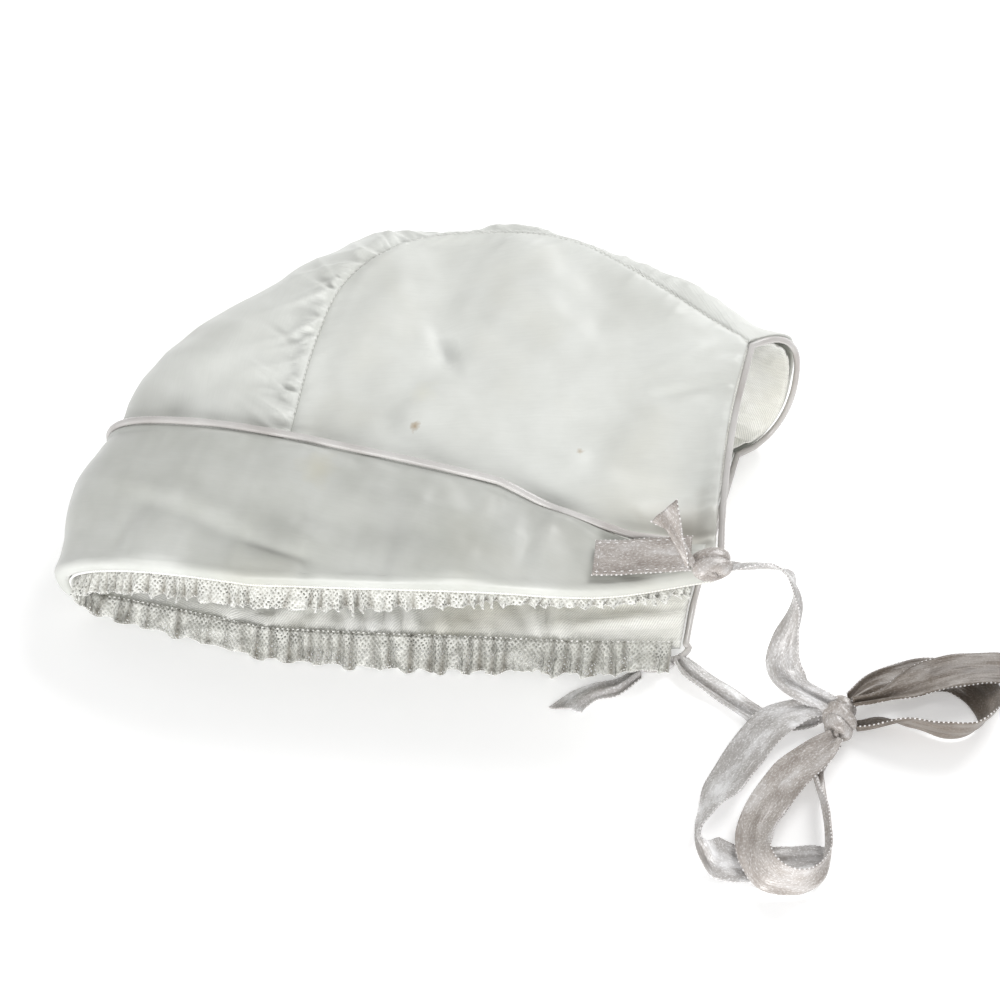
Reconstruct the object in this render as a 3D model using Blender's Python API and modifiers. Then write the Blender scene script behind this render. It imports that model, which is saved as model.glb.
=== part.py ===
"""Baby bonnet of pale silk satin, lying on its side as separate closed solids.

The face opening looks along -Y, the top of the head along -X, the chin and nape along +X, and the back of
the head along +Y. Tables and sizes are in millimetres, and each mesh is made in metres. The origin is the
middle of the bonnet's box without its ribbons, on the surface that it lies on.

Three panels of cloth make the bonnet. Two side panels meet a centre panel along two seams, and the centre
panel runs from the forehead over the top and back of the head to the nape. A place on the cloth is named
by its lane and its share: lane 0 to 1 crosses the upper side panel from the chin corner to the seam, lane
1 to 2 the centre panel from seam to seam, and lane 2 to 3 the lower side panel. The share runs back from
the face edge.
"""

import math
from collections import namedtuple

import bmesh
import bpy
from mathutils import Vector

MM = 0.001
REST_CENTRE = (-16.441, -3.026)

PANEL_WALL = 1.2
LINING_WALL = 1.0
CUFF_WALL = 1.2
LACE_WALL = 1.0
RIBBON_WALL = 0.8
RIBBON_WIDTH = 9.5
PIPING_RADIUS = 1.0
GAP = 0.35

CUFF_RISE = 2.3
CUFF_PUFF = 1.1
PIPING_RISE = 1.8
LINING_RISE = -1.75
LACE_RISE = -3.35
NAPE_PIPING_RISE = -0.45
NAPE_PIPING_START = 0.03
BAND_RISE = 3.65
PANEL_ON_CUFF = CUFF_RISE + CUFF_WALL / 2
PANEL_ON_FLOOR = PANEL_WALL / 2 + 0.03
SAG_START = 3.0
SAG_LENGTH = 11.0

FACE_INSET = 0.018
NAPE_INSET = 0.014
SEAM_INSET = 0.004
STRIP_EDGE = 0.00001
TURN = 0.5
FOLD_ROUNDNESS = 0.85

LINE_STEPS = 24
EVEN_STEPS = 600
NORMAL_STEP = 0.02
NORMAL_REACH = 1.5
MERGE_DISTANCE = 0.01
UPPER_ROWS = 16
UPPER_POINTS = 12
LOWER_ROWS = 9
LOWER_POINTS = 3
STRIP_POINTS = 54
LINING_ROWS = 12
SAG_PARTS = (-0.1, 0.2, 0.5, 0.8, 1.1)
STRIP_AROUNDS = (0.008, 0.05, 0.12, 0.22, 0.34, 0.45, 0.55, 0.66, 0.8, 0.992)
LINING_AROUNDS = (0.0, 0.11, 0.23, 0.34, 0.43, 0.5, 0.57, 0.66, 0.8, 1.0)

Station = namedtuple("Station", "upper fold lower")
STATIONS = (
    Station((-60.0, -54.0, 31.0), (-108.4, -37.5, 10.4), (-58.0, -48.6, 0.0)),
    Station((-52.0, -13.0, 38.0), (-97.0, 5.0, 19.0), (-54.0, -10.0, 0.0)),
    Station((-46.5, 13.0, 44.0), (-87.5, 23.0, 24.0), (-49.0, 12.0, 0.0)),
    Station((-39.0, 31.0, 49.0), (-67.5, 39.0, 26.0), (-41.0, 28.0, 0.0)),
    Station((-24.0, 41.0, 52.0), (-40.5, 51.5, 27.0), (-26.0, 37.0, 0.0)),
    Station((-3.0, 43.0, 54.0), (-8.0, 56.5, 28.0), (-4.0, 42.0, 0.0)),
    Station((19.0, 38.0, 55.0), (23.5, 49.5, 28.0), (19.0, 39.0, 0.0)),
    Station((42.0, 21.5, 53.0), (50.5, 33.0, 27.0), (42.0, 28.0, 0.0)),
    Station((62.6, 6.0, 50.0), (77.0, 20.0, 25.0), (63.0, 15.0, 0.0)),
)

Side = namedtuple("Side", "face nape")
UPPER_SIDE = Side(
    face=(
        (-60.0, -54.0, 31.0), (-32.0, -56.5, 32.5), (-4.0, -58.5, 33.5),
        (24.0, -60.5, 34.0), (52.0, -56.0, 35.0),
    ),
    nape=((52.0, -56.0, 35.0), (54.0, -34.0, 39.0), (57.5, -13.0, 45.0), (62.6, 6.0, 50.0)),
)
LOWER_SIDE = Side(
    face=(
        (-58.0, -48.6, 0.0), (-32.0, -50.2, 0.0), (-6.0, -51.4, 0.0),
        (20.0, -52.8, 0.0), (45.5, -53.0, 0.0),
    ),
    nape=((45.5, -53.0, 0.0), (50.0, -31.0, 0.0), (56.5, -8.0, 0.0), (63.0, 15.0, 0.0)),
)

CUFF_END_LANE = 0.035
# How wide the cuff is at lanes counted from a chin corner, the same for both sides.
CuffWidth = namedtuple("CuffWidth", "lane width")
CUFF_WIDTHS = (
    CuffWidth(0.0, 9.0), CuffWidth(0.12, 11.5), CuffWidth(0.2, 14.5), CuffWidth(0.34, 22.0),
    CuffWidth(0.5, 29.0), CuffWidth(0.7, 34.0), CuffWidth(1.0, 41.0), CuffWidth(1.5, 42.0),
)

# Soft rises and hollows of the cloth that faces up: middle, heading in degrees, reach along and across.
Relief = namedtuple("Relief", "x y heading along across height")
RELIEFS = (
    Relief(10.0, 12.0, 20.0, 48.0, 30.0, 3.0),
    Relief(-14.0, 8.0, 80.0, 14.0, 9.0, -1.5),
    Relief(7.0, -40.0, 10.0, 16.0, 7.0, -1.6),
    Relief(-28.0, 24.0, 55.0, 20.0, 9.0, 1.8),
    Relief(-54.0, -42.0, 5.0, 18.0, 5.0, -1.2),
    Relief(44.0, 2.0, 10.0, 16.0, 6.0, 1.4),
    Relief(30.0, -22.0, -20.0, 26.0, 8.0, -1.6),
    Relief(-80.0, 12.0, 60.0, 16.0, 6.0, 1.2),
)
RELIEF_FOOT = 20.0

GATHERS = 18
GATHER_DEPTH = 0.9
GATHER_REACH = 0.28
GATHER_START = 0.13
GATHER_EASE = 0.05

LACE_LANES = (0.06, 2.96)
LACE_ROOT = 3.6
LACE_FOLDS = 38
LACE_SAMPLES = 3
LACE_WAVE = 1.3
LACE_FLOOR = 0.9
# How far the free lace reaches past the face edge, at lanes from the upper chin corner.
LaceFall = namedtuple("LaceFall", "lane length")
LACE_FALLS = (
    LaceFall(0.0, 4.5), LaceFall(0.5, 5.0), LaceFall(1.0, 5.0), LaceFall(1.3, 4.0),
    LaceFall(1.45, 2.5), LaceFall(1.62, 2.5), LaceFall(1.8, 5.0), LaceFall(2.0, 7.5),
    LaceFall(2.3, 8.5), LaceFall(3.0, 8.0),
)
# How steeply the free lace hangs below the cloth, in degrees, at lanes from the upper chin corner.
LaceDroop = namedtuple("LaceDroop", "lane angle")
LACE_DROOPS = (
    LaceDroop(0.0, 60.0), LaceDroop(1.0, 62.0), LaceDroop(1.5, 30.0),
    LaceDroop(2.0, 34.0), LaceDroop(2.5, 30.0), LaceDroop(2.8, 8.0), LaceDroop(3.0, 4.0),
)

# A ribbon's rows give its middle, the heading and rise in degrees of the line across it, and its share
# of the full width.
Row = namedtuple("Row", "x y z heading rise width")
TIE_UPPER = (
    Row(54.3, -57.0, 40.0, -90.0, 40.0, 0.4), Row(59.0, -56.4, 39.6, -90.0, 55.0, 0.8),
    Row(63.4, -55.2, 38.0, -90.0, 58.0, 1.0), Row(67.4, -54.0, 34.5, -90.0, 40.0, 1.0),
    Row(70.4, -53.6, 29.5, -88.0, 18.0, 1.0), Row(71.6, -54.6, 24.0, -80.0, 0.0, 1.0),
    Row(70.8, -56.6, 18.0, -62.0, -8.0, 1.0), Row(69.2, -59.2, 12.5, -36.0, -8.0, 1.0),
    Row(69.2, -62.8, 8.5, -14.0, 0.0, 1.0), Row(71.6, -66.6, 6.5, 10.0, 10.0, 0.75),
    Row(78.0, -71.0, 6.2, 40.0, 15.0, 0.4),
)
TIE_LOWER = (
    Row(43.7, -54.1, 2.6, 45.0, -8.0, 0.35), Row(46.9, -58.0, 1.6, 45.0, -6.0, 0.6),
    Row(51.6, -62.0, 1.0, 45.0, -4.0, 0.62), Row(56.4, -66.0, 0.7, 45.0, 0.0, 0.62),
    Row(60.6, -69.6, 0.6, 48.0, 0.0, 0.62), Row(66.2, -73.8, 0.6, 60.0, 0.0, 0.6),
    Row(78.5, -75.8, 1.2, 85.0, 0.0, 0.4),
)
BOW_TAIL_NEAR = (
    Row(77.3, -71.4, 4.4, -70.0, 0.0, 0.45), Row(70.4, -72.8, 4.2, -50.0, 0.0, 0.8),
    Row(64.4, -76.6, 3.6, -35.0, 0.0, 1.0), Row(58.0, -84.4, 2.0, -28.0, 5.0, 1.0),
    Row(52.4, -93.8, 2.6, -22.0, 20.0, 1.0), Row(48.0, -102.6, 4.6, -12.0, 55.0, 1.0),
    Row(45.8, -108.6, 5.4, 0.0, 80.0, 1.0), Row(46.8, -112.2, 5.0, 45.0, 68.0, 1.0),
    Row(49.8, -113.6, 3.0, 78.0, 34.0, 1.0), Row(53.8, -113.8, 1.0, 88.0, 6.0, 1.0),
    Row(57.6, -114.0, 0.6, 90.0, 0.0, 1.0), Row(62.4, -114.2, 0.6, 90.0, 0.0, 1.0),
    Row(67.6, -114.0, 0.6, 90.0, 0.0, 1.0), Row(71.6, -113.4, 0.6, 90.0, 0.0, 1.0),
)
BOW_LOOP_NEAR = (
    Row(79.7, -80.4, 5.2, -40.0, 0.0, 0.5), Row(75.2, -85.0, 5.0, -32.0, 0.0, 0.9),
    Row(69.0, -90.8, 4.6, -30.0, 0.0, 1.0), Row(63.4, -98.4, 4.0, -28.0, 5.0, 1.0),
    Row(59.8, -105.2, 4.4, -20.0, 18.0, 1.0), Row(58.6, -110.6, 5.2, -8.0, 32.0, 1.0),
    Row(58.8, -115.0, 5.7, 10.0, 46.0, 1.0), Row(60.6, -119.0, 5.7, 36.0, 58.0, 1.0),
    Row(64.2, -121.2, 5.6, 70.0, 78.0, 1.0), Row(68.8, -121.8, 5.6, 100.0, 84.0, 1.0),
    Row(73.0, -119.4, 5.5, 140.0, 76.0, 1.0), Row(75.2, -114.4, 5.3, 168.0, 66.0, 1.0),
    Row(76.0, -107.4, 5.1, 178.0, 62.0, 1.0), Row(75.8, -100.0, 4.0, 180.0, 46.0, 1.0),
    Row(75.4, -93.0, 1.8, 178.0, 12.0, 1.0), Row(75.8, -86.8, 0.6, 176.0, 0.0, 0.8),
    Row(79.6, -79.6, 0.6, 174.0, 0.0, 0.5),
)
BOW_LOOP_SIDE = (
    Row(85.0, -69.8, 5.2, 125.0, 0.0, 0.4), Row(90.3, -65.6, 4.4, 122.0, 10.0, 0.7),
    Row(96.6, -62.6, 3.4, 112.0, 12.0, 0.9), Row(103.2, -60.2, 2.6, 100.0, 8.0, 1.0),
    Row(109.0, -59.6, 1.8, 85.0, 4.0, 1.0), Row(113.6, -61.2, 1.4, 55.0, 5.0, 1.0),
    Row(116.6, -64.4, 2.0, 22.0, 14.0, 1.0), Row(118.2, -69.6, 3.6, -10.0, 40.0, 1.0),
    Row(117.0, -75.2, 5.1, -50.0, 66.0, 1.0), Row(112.6, -78.6, 5.3, -82.0, 74.0, 1.0),
    Row(106.0, -78.8, 5.3, -100.0, 74.0, 1.0), Row(99.2, -76.6, 5.1, -110.0, 66.0, 1.0),
    Row(92.6, -75.0, 3.8, -108.0, 40.0, 0.8), Row(85.9, -75.2, 2.4, -100.0, 20.0, 0.4),
)
BOW_TAIL_SIDE = (
    Row(84.9, -71.8, 7.0, 100.0, 0.0, 0.3), Row(91.6, -70.4, 7.4, 100.0, 0.0, 0.4),
    Row(97.6, -67.8, 7.6, 108.0, 0.0, 0.8), Row(104.6, -64.4, 7.6, 106.0, 0.0, 1.0),
    Row(112.6, -62.0, 7.2, 104.0, 0.0, 1.0), Row(121.0, -60.6, 6.0, 98.0, 0.0, 1.0),
    Row(129.0, -59.6, 3.4, 95.0, 0.0, 1.0), Row(136.0, -59.2, 1.2, 94.0, 0.0, 1.0),
    Row(142.0, -59.0, 0.7, 94.0, 0.0, 1.0), Row(149.0, -59.0, 0.6, 94.0, 0.0, 1.0),
)
CORNER_TAIL = (
    Row(44.6, -58.3, 42.1, -90.0, 48.0, 0.35), Row(43.4, -57.0, 44.4, -72.0, 46.0, 0.6),
    Row(42.2, -54.8, 46.6, -50.0, 46.0, 0.8), Row(41.0, -51.8, 49.0, -28.0, 48.0, 0.9),
    Row(39.8, -48.8, 51.0, -12.0, 52.0, 0.95),
)
LOWER_TAIL = (
    Row(34.5, -57.9, 0.9, 105.0, 0.0, 0.3), Row(29.0, -62.0, 0.6, 100.0, 0.0, 0.5),
    Row(23.6, -63.4, 0.6, 96.0, 0.0, 0.5), Row(19.4, -65.6, 0.6, 130.0, 0.0, 0.6),
    Row(15.8, -69.0, 0.6, 150.0, 0.0, 0.7),
)
# Where the stitched end of the near ribbon lies on the cuff: lane, and the middle's distance from the
# face edge.
BandRow = namedtuple("BandRow", "lane middle")
TIE_BAND = (BandRow(0.275, 8.2), BandRow(0.2, 7.8), BandRow(0.14, 7.2), BandRow(0.066, 6.0))

TIE_BAND_STEPS = 6

Knot = namedtuple("Knot", "centre half_size heading wraps")
CORNER_KNOT = Knot((49.6, -57.0, 40.8), (4.6, 4.4, 2.8), 20.0, 2)
LOWER_KNOT = Knot((38.6, -56.0, 1.8), (4.4, 2.2, 1.5), 10.0, 2)
BOW_KNOT = Knot((81.8, -74.4, 4.0), (3.6, 6.4, 3.7), -6.0, 3)

KNOT_SEGMENTS = 14
KNOT_RINGS = 9
KNOT_GROOVE = 0.06

RIBBONS = (
    ("tie_upper", TIE_UPPER, 20), ("tie_lower", TIE_LOWER, 12), ("bow_tail_near", BOW_TAIL_NEAR, 24),
    ("bow_loop_near", BOW_LOOP_NEAR, 32), ("bow_loop_side", BOW_LOOP_SIDE, 26),
    ("bow_tail_side", BOW_TAIL_SIDE, 18), ("corner_tail", CORNER_TAIL, 8), ("lower_tail", LOWER_TAIL, 8),
)
KNOTS = (("corner_knot", CORNER_KNOT), ("lower_knot", LOWER_KNOT), ("bow_knot", BOW_KNOT))

Finish = namedtuple("Finish", "name colour roughness")
SATIN = Finish("satin", (0.86, 0.88, 0.83), 0.4)
LINING_SATIN = Finish("lining_satin", (0.84, 0.85, 0.76), 0.45)
PIPING_SATIN = Finish("piping_satin", (0.80, 0.73, 0.70), 0.35)
LACE = Finish("lace", (0.90, 0.89, 0.83), 0.8)
RIBBON = Finish("ribbon", (0.62, 0.53, 0.49), 0.4)

line_cache = {}


def clear_scene():
    for found in list(bpy.data.objects):
        bpy.data.objects.remove(found, do_unlink=True)


def make_material(name, finish):
    material = bpy.data.materials.new(f"{name}_{finish.name}")
    material.use_nodes = True
    shader = material.node_tree.nodes["Principled BSDF"]
    shader.inputs["Base Color"].default_value = (*finish.colour, 1.0)
    shader.inputs["Roughness"].default_value = finish.roughness
    shader.inputs["Metallic"].default_value = 0.0
    return material


def smooth(points, share):
    """The place at a share from 0 to 1 along an even Catmull-Rom curve through the points."""
    last = len(points) - 1
    place = min(max(share, 0.0), 1.0) * last
    index = min(int(place), last - 1)
    step = place - index
    near, far = Vector(points[index]), Vector(points[index + 1])
    before = Vector(points[index - 1]) if index else 2 * near - far
    after = Vector(points[index + 2]) if index + 2 <= last else 2 * far - near
    first = far - before
    second = 2 * before - 5 * near + 4 * far - after
    third = 3 * (near - far) + after - before
    return near + 0.5 * step * (first + step * (second + step * third))


def between(rows, place):
    """The second value of rows of (place, value), in proportion between the two rows around a place."""
    for low, high in zip(rows, rows[1:]):
        if place <= high[0]:
            step = max(0.0, (place - low[0]) / (high[0] - low[0]))
            return low[1] + (high[1] - low[1]) * step
    return rows[-1][1]


def ease(step):
    step = min(max(step, 0.0), 1.0)
    return step * step * (3 - 2 * step)


def shares(first, last, count):
    return [first + (last - first) * i / count for i in range(count + 1)]


def cuff_width(lane):
    return between(CUFF_WIDTHS, min(lane, 3.0 - lane))


def seam_point(edge, share):
    return smooth([getattr(station, edge) for station in STATIONS], share)


def panel_point(side, edge, across, share):
    """A place on a side panel, blended from its four edges."""
    front, nape = smooth(side.face, across), smooth(side.nape, share)
    seam_front, seam_back = seam_point(edge, TURN * share), seam_point(edge, TURN + (1 - TURN) * across)
    corners = (
        (1 - across) * (1 - share) * seam_point(edge, 0.0) + across * (1 - share) * smooth(side.face, 1.0)
        + (1 - across) * share * seam_point(edge, TURN) + across * share * seam_point(edge, 1.0)
    )
    return (1 - share) * front + share * seam_back + (1 - across) * seam_front + across * nape - corners


def strip_point(along, around):
    """A place on the centre panel: half an ellipse from the upper seam over the fold to the lower."""
    upper, fold, lower = (seam_point(edge, along) for edge in ("upper", "fold", "lower"))
    middle, angle = (upper + lower) / 2, math.pi * around
    out = math.sin(angle) ** FOLD_ROUNDNESS
    high = math.copysign(abs(math.cos(angle)) ** FOLD_ROUNDNESS, math.cos(angle))
    return middle + (fold - middle) * out + (upper - lower) / 2 * high


def raw_point(lane, share):
    if lane <= 1:
        return panel_point(UPPER_SIDE, "upper", 1 - lane, share)
    if lane >= 2:
        return panel_point(LOWER_SIDE, "lower", lane - 2, share)
    return strip_point(TURN * share, lane - 1)


def relief_at(point):
    total = 0.0
    for r in RELIEFS:
        turn = math.radians(r.heading)
        dx, dy = point.x - r.x, point.y - r.y
        along = (dx * math.cos(turn) + dy * math.sin(turn)) / r.along
        across = (dy * math.cos(turn) - dx * math.sin(turn)) / r.across
        total += r.height * math.exp(-along * along - across * across)
    return total * ease((point.z - RELIEF_FOOT) / RELIEF_FOOT)


def settle(point, behind):
    """Lets the cloth sag to the surface behind the cuff, and adds the soft reliefs on top."""
    low = PANEL_ON_CUFF + (PANEL_ON_FLOOR - PANEL_ON_CUFF) * ease((behind - SAG_START) / SAG_LENGTH)
    return Vector((point.x, point.y, max(point.z + relief_at(point), low)))


def line_points(lane):
    """Points on the cloth along a lane, with their distances from the face edge."""
    key = round(lane, 5)
    if key not in line_cache:
        reach = 1 / TURN if 1 < lane < 2 else 1.0
        steps = round(LINE_STEPS * reach)
        raw = [raw_point(lane, reach * i / steps) for i in range(steps + 1)]
        distances = [0.0]
        for a, b in zip(raw, raw[1:]):
            distances.append(distances[-1] + (b - a).length)
        placed = [settle(p, d - cuff_width(lane)) for p, d in zip(raw, distances)]
        line_cache[key] = (placed, distances, reach)
    return line_cache[key]


def cloth_point(lane, share):
    """A place on the middle of the cloth, at a share of the way back from the face edge."""
    _, distances, reach = line_points(lane)
    share = min(max(share, 0.0), reach)
    place = share / reach * (len(distances) - 1)
    index = min(int(place), len(distances) - 2)
    distance = distances[index] + (distances[index + 1] - distances[index]) * (place - index)
    return settle(raw_point(lane, share), distance - cuff_width(lane))


def edge_point(lane, distance):
    """A place at a distance back from the face edge, or in front of it where that is negative."""
    placed, distances, _ = line_points(lane)
    if distance < 0:
        forward = (placed[0] - placed[1]).normalized()
        return placed[0] - distance * forward
    for i in range(1, len(placed)):
        if distance <= distances[i]:
            step = (distance - distances[i - 1]) / (distances[i] - distances[i - 1])
            return placed[i - 1].lerp(placed[i], step)
    return placed[-1]


def edge_normal(lane, distance):
    """The outward direction of the cloth near the face edge."""
    distance = max(distance, 0.0)
    back = edge_point(lane, distance + NORMAL_REACH) - edge_point(lane, distance)
    near = edge_point(max(lane - NORMAL_STEP, 0.0), distance)
    far = edge_point(min(lane + NORMAL_STEP, 3.0), distance)
    return back.cross(far - near).normalized()


def raised(lane, distance, rise):
    return edge_point(lane, distance) + rise * edge_normal(lane, distance)


def even_lanes(first, last, count):
    """Lanes whose places on the face edge are evenly spaced."""
    fine = shares(first, last, EVEN_STEPS)
    lengths = [0.0]
    for a, b in zip(fine, fine[1:]):
        lengths.append(lengths[-1] + (edge_point(b, 0.0) - edge_point(a, 0.0)).length)
    lanes, index = [], 0
    for i in range(count + 1):
        wanted = lengths[-1] * i / count
        while index < len(fine) - 2 and lengths[index + 1] < wanted:
            index += 1
        step = (wanted - lengths[index]) / (lengths[index + 1] - lengths[index])
        lanes.append(fine[index] + (fine[index + 1] - fine[index]) * min(max(step, 0.0), 1.0))
    return lanes


def to_metres(point):
    return ((point.x - REST_CENTRE[0]) * MM, (point.y - REST_CENTRE[1]) * MM, point.z * MM)


def grid_mesh(bm, rows):
    """Adds a sheet of four-sided faces through rows of points, shared with any points already there."""
    verts = [[bm.verts.new(to_metres(p)) for p in row] for row in rows]
    for near, far in zip(verts, verts[1:]):
        for i in range(len(near) - 1):
            bm.faces.new((near[i], far[i], far[i + 1], near[i + 1]))


def finish_mesh(bm, name, finish, collection):
    mesh = bpy.data.meshes.new(name)
    bm.to_mesh(mesh)
    bm.free()
    made = bpy.data.objects.new(name, mesh)
    collection.objects.link(made)
    mesh.materials.append(make_material(name, finish))
    mesh.shade_smooth()
    return made


def sheet(name, grids, wall, finish, collection, rise=0.0):
    """A wall of cloth: open sheets joined where their edges meet, moved out by rise, and thickened."""
    bm = bmesh.new()
    for rows in grids:
        grid_mesh(bm, rows)
    bmesh.ops.remove_doubles(bm, verts=bm.verts, dist=MERGE_DISTANCE * MM)
    bm.normal_update()
    if rise:
        normals = [v.normal.copy() for v in bm.verts]
        for vert, normal in zip(bm.verts, normals):
            vert.co += rise * MM * normal
    made = finish_mesh(bm, name, finish, collection)
    thicken = made.modifiers.new("wall", "SOLIDIFY")
    thicken.thickness = wall * MM
    thicken.offset = 0.0
    return made


def side_grid(acrosses, backs):
    """The upper panel's points, in rows from the seam to the nape edge."""
    return [[cloth_point(1 - across, back) for back in backs] for across in acrosses]


def lower_grid(acrosses, end):
    """The lower panel's points, in rows from the nape edge to the seam."""
    return [[cloth_point(2 + across, back) for back in resting_backs(2 + across, end)] for across in acrosses]


def share_at(lane, distance):
    """The share of the way back at a distance from the face edge."""
    _, distances, reach = line_points(lane)
    for i in range(1, len(distances)):
        if distance <= distances[i]:
            step = (distance - distances[i - 1]) / (distances[i] - distances[i - 1])
            return reach * (i - 1 + step) / (len(distances) - 1)
    return reach


def resting_backs(lane, end):
    """Shares back along a lane of the lower panel, close together where it sags behind the cuff."""
    width = cuff_width(lane)
    bend = [share_at(lane, width + SAG_START + SAG_LENGTH * part) for part in SAG_PARTS]
    return [FACE_INSET, 0.5 * bend[0]] + bend + shares(bend[-1], end, LOWER_POINTS)[1:]


def strip_at(along, around):
    return cloth_point(1 + min(max(around, STRIP_EDGE), 1 - STRIP_EDGE), along / TURN)


def strip_normal(along, around):
    """The outward direction of the centre panel."""
    side = strip_at(along, around + NORMAL_STEP) - strip_at(along, around - NORMAL_STEP)
    before = strip_at(max(along - NORMAL_STEP / 2, 0.0), around)
    forward = strip_at(min(along + NORMAL_STEP / 2, 1.0), around) - before
    return forward.cross(side).normalized()


def gather_lift(along, around):
    """The small ridges of cloth that is gathered into the upper seam."""
    strength = math.exp(-around / GATHER_REACH) * ease(around / GATHER_EASE)
    start = ease((along - GATHER_START) / GATHER_EASE)
    ridge = (1 - math.cos(2 * math.pi * GATHERS * (along - GATHER_START) / TURN)) / 2
    return GATHER_DEPTH * strength * start * ridge


def strip_grid(alongs, arounds, lift):
    """The centre panel's points, in rows from the lower seam to the upper, each moved out by its lift."""
    return [
        [strip_at(along, around) + lift(along, around) * strip_normal(along, around) for along in alongs]
        for around in arounds[::-1]
    ]


def joined_alongs(acrosses, backs):
    """The centre panel's stations at the points of a side panel's seam edge, front part and back part."""
    return [TURN * b for b in backs] + [TURN + (1 - TURN) * a for a in acrosses[1:]]


def make_panels(collection):
    far = 1 - NAPE_INSET
    upper = side_grid(shares(SEAM_INSET, far, UPPER_ROWS), shares(FACE_INSET, 1 - SEAM_INSET, UPPER_POINTS))
    lower = lower_grid(shares(far, SEAM_INSET, LOWER_ROWS), 1 - SEAM_INSET)
    alongs = shares(TURN * FACE_INSET, 1 - (1 - TURN) * NAPE_INSET, STRIP_POINTS)
    centre = strip_grid(alongs, STRIP_AROUNDS, gather_lift)
    sheet("side_panel_upper", [upper], PANEL_WALL, SATIN, collection)
    sheet("side_panel_lower", [lower], PANEL_WALL, SATIN, collection)
    sheet("centre_panel", [centre], PANEL_WALL, SATIN, collection)


def make_lining(collection):
    acrosses, backs = shares(0.0, 1 - NAPE_INSET, LINING_ROWS), resting_backs(2.0, 1.0)
    centre = strip_grid(joined_alongs(acrosses, backs), LINING_AROUNDS, lambda along, around: 0.0)
    grids = [side_grid(acrosses, backs), lower_grid(acrosses[::-1], 1.0), centre]
    sheet("lining", grids, LINING_WALL, LINING_SATIN, collection, rise=LINING_RISE)


def cuff_profile(lane):
    """The cuff from its free edge to its end inside the face edge: distance back, and rise."""
    width = cuff_width(lane) - PIPING_RADIUS - GAP
    puff = CUFF_PUFF * ease((lane - 0.35) / 0.25) * ease((1.75 - lane) / 0.5)
    return (
        (width, CUFF_RISE), (0.72 * width, CUFF_RISE + puff), (0.42 * width, CUFF_RISE + puff),
        (2.2, CUFF_RISE), (0.7, 1.9), (0.05, 1.0), (0.05, -0.25),
    )


def cuff_lanes():
    end = CUFF_END_LANE
    return shares(end, 1.0, 13)[:-1] + shares(1.0, 2.0, 20)[:-1] + shares(2.0, 3.0 - end, 11)


def make_cuff(collection):
    rows = [[raised(lane, back, rise) for back, rise in cuff_profile(lane)] for lane in cuff_lanes()]
    sheet("cuff", [rows], CUFF_WALL, SATIN, collection)


def tube(name, points, radius, finish, collection):
    """A corded edge along a line of points, with closed ends."""
    curve = bpy.data.curves.new(name, "CURVE")
    curve.dimensions = "3D"
    curve.bevel_depth = radius * MM
    curve.bevel_resolution = 2
    curve.use_fill_caps = True
    spline = curve.splines.new("POLY")
    spline.points.add(len(points) - 1)
    for place, point in zip(spline.points, points):
        place.co = (*to_metres(point), 1.0)
    spline.use_smooth = True
    made = bpy.data.objects.new(name, curve)
    collection.objects.link(made)
    curve.materials.append(make_material(name, finish))
    return made


def nape_place(lane, share):
    """A place on the nape edge of a side panel, a little inside the cloth's middle."""
    upward = 1 if lane < 1 else -1
    return cloth_point(lane, share) + Vector((0, 0, NAPE_PIPING_RISE * upward))


def make_pipings(collection):
    tube(
        "cuff_piping", [raised(lane, cuff_width(lane), PIPING_RISE) for lane in cuff_lanes()],
        PIPING_RADIUS, PIPING_SATIN, collection,
    )
    upper = [nape_place(0.0, share) for share in shares(NAPE_PIPING_START, 1.0, 9)]
    around = [strip_at(1.0, a) + NAPE_PIPING_RISE * strip_normal(1.0, a) for a in shares(0.0, 1.0, 12)]
    lower = [nape_place(3.0, share) for share in shares(1.0, NAPE_PIPING_START, 8)]
    tube("nape_piping", upper[:-1] + around + lower[1:], PIPING_RADIUS, PIPING_SATIN, collection)


def lace_point(lane, part, phase):
    """A place on the lace ruffle: part runs from -1 at its root inside the face edge to 1 at its end."""
    fall = between(LACE_FALLS, lane)
    if part <= 0:
        return raised(lane, -part * min(LACE_ROOT, fall), LACE_RISE)
    start = raised(lane, 0.0, LACE_RISE)
    forward = (edge_point(lane, -1.0) - edge_point(lane, 0.0)).normalized()
    droop = math.radians(between(LACE_DROOPS, lane))
    along = math.cos(droop) * forward + math.sin(droop) * Vector((0, 0, -1))
    girth = (edge_point(lane + 0.01, 0.0) - edge_point(lane - 0.01, 0.0)).normalized()
    wave = LACE_WAVE * part * math.sin(phase)
    point = start + part * fall * along + wave * girth.cross(along).normalized()
    point.z = max(point.z, LACE_FLOOR)
    return point


def make_lace(collection):
    lanes = even_lanes(*LACE_LANES, LACE_FOLDS * LACE_SAMPLES)
    rows = [
        [lace_point(lane, part, 2 * math.pi * i / LACE_SAMPLES + 0.5) for part in (1.0, 0.5, 0.0, -1.0)]
        for i, lane in enumerate(lanes)
    ]
    sheet("lace_ruffle", [rows], LACE_WALL, LACE, collection)


def ribbon_grid(rows, count):
    """Points across a ribbon, at even steps of its rows."""
    grid = []
    for share in shares(0.0, 1.0, count):
        middle = smooth([row[:3] for row in rows], share)
        heading, rise, width = smooth([row[3:] for row in rows], share)
        heading, rise = math.radians(heading), math.radians(rise)
        across = Vector(
            (math.cos(heading) * math.cos(rise), math.sin(heading) * math.cos(rise), math.sin(rise))
        )
        half = 0.5 * RIBBON_WIDTH * width * across
        grid.append([middle + half, middle, middle - half])
    return grid


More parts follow.
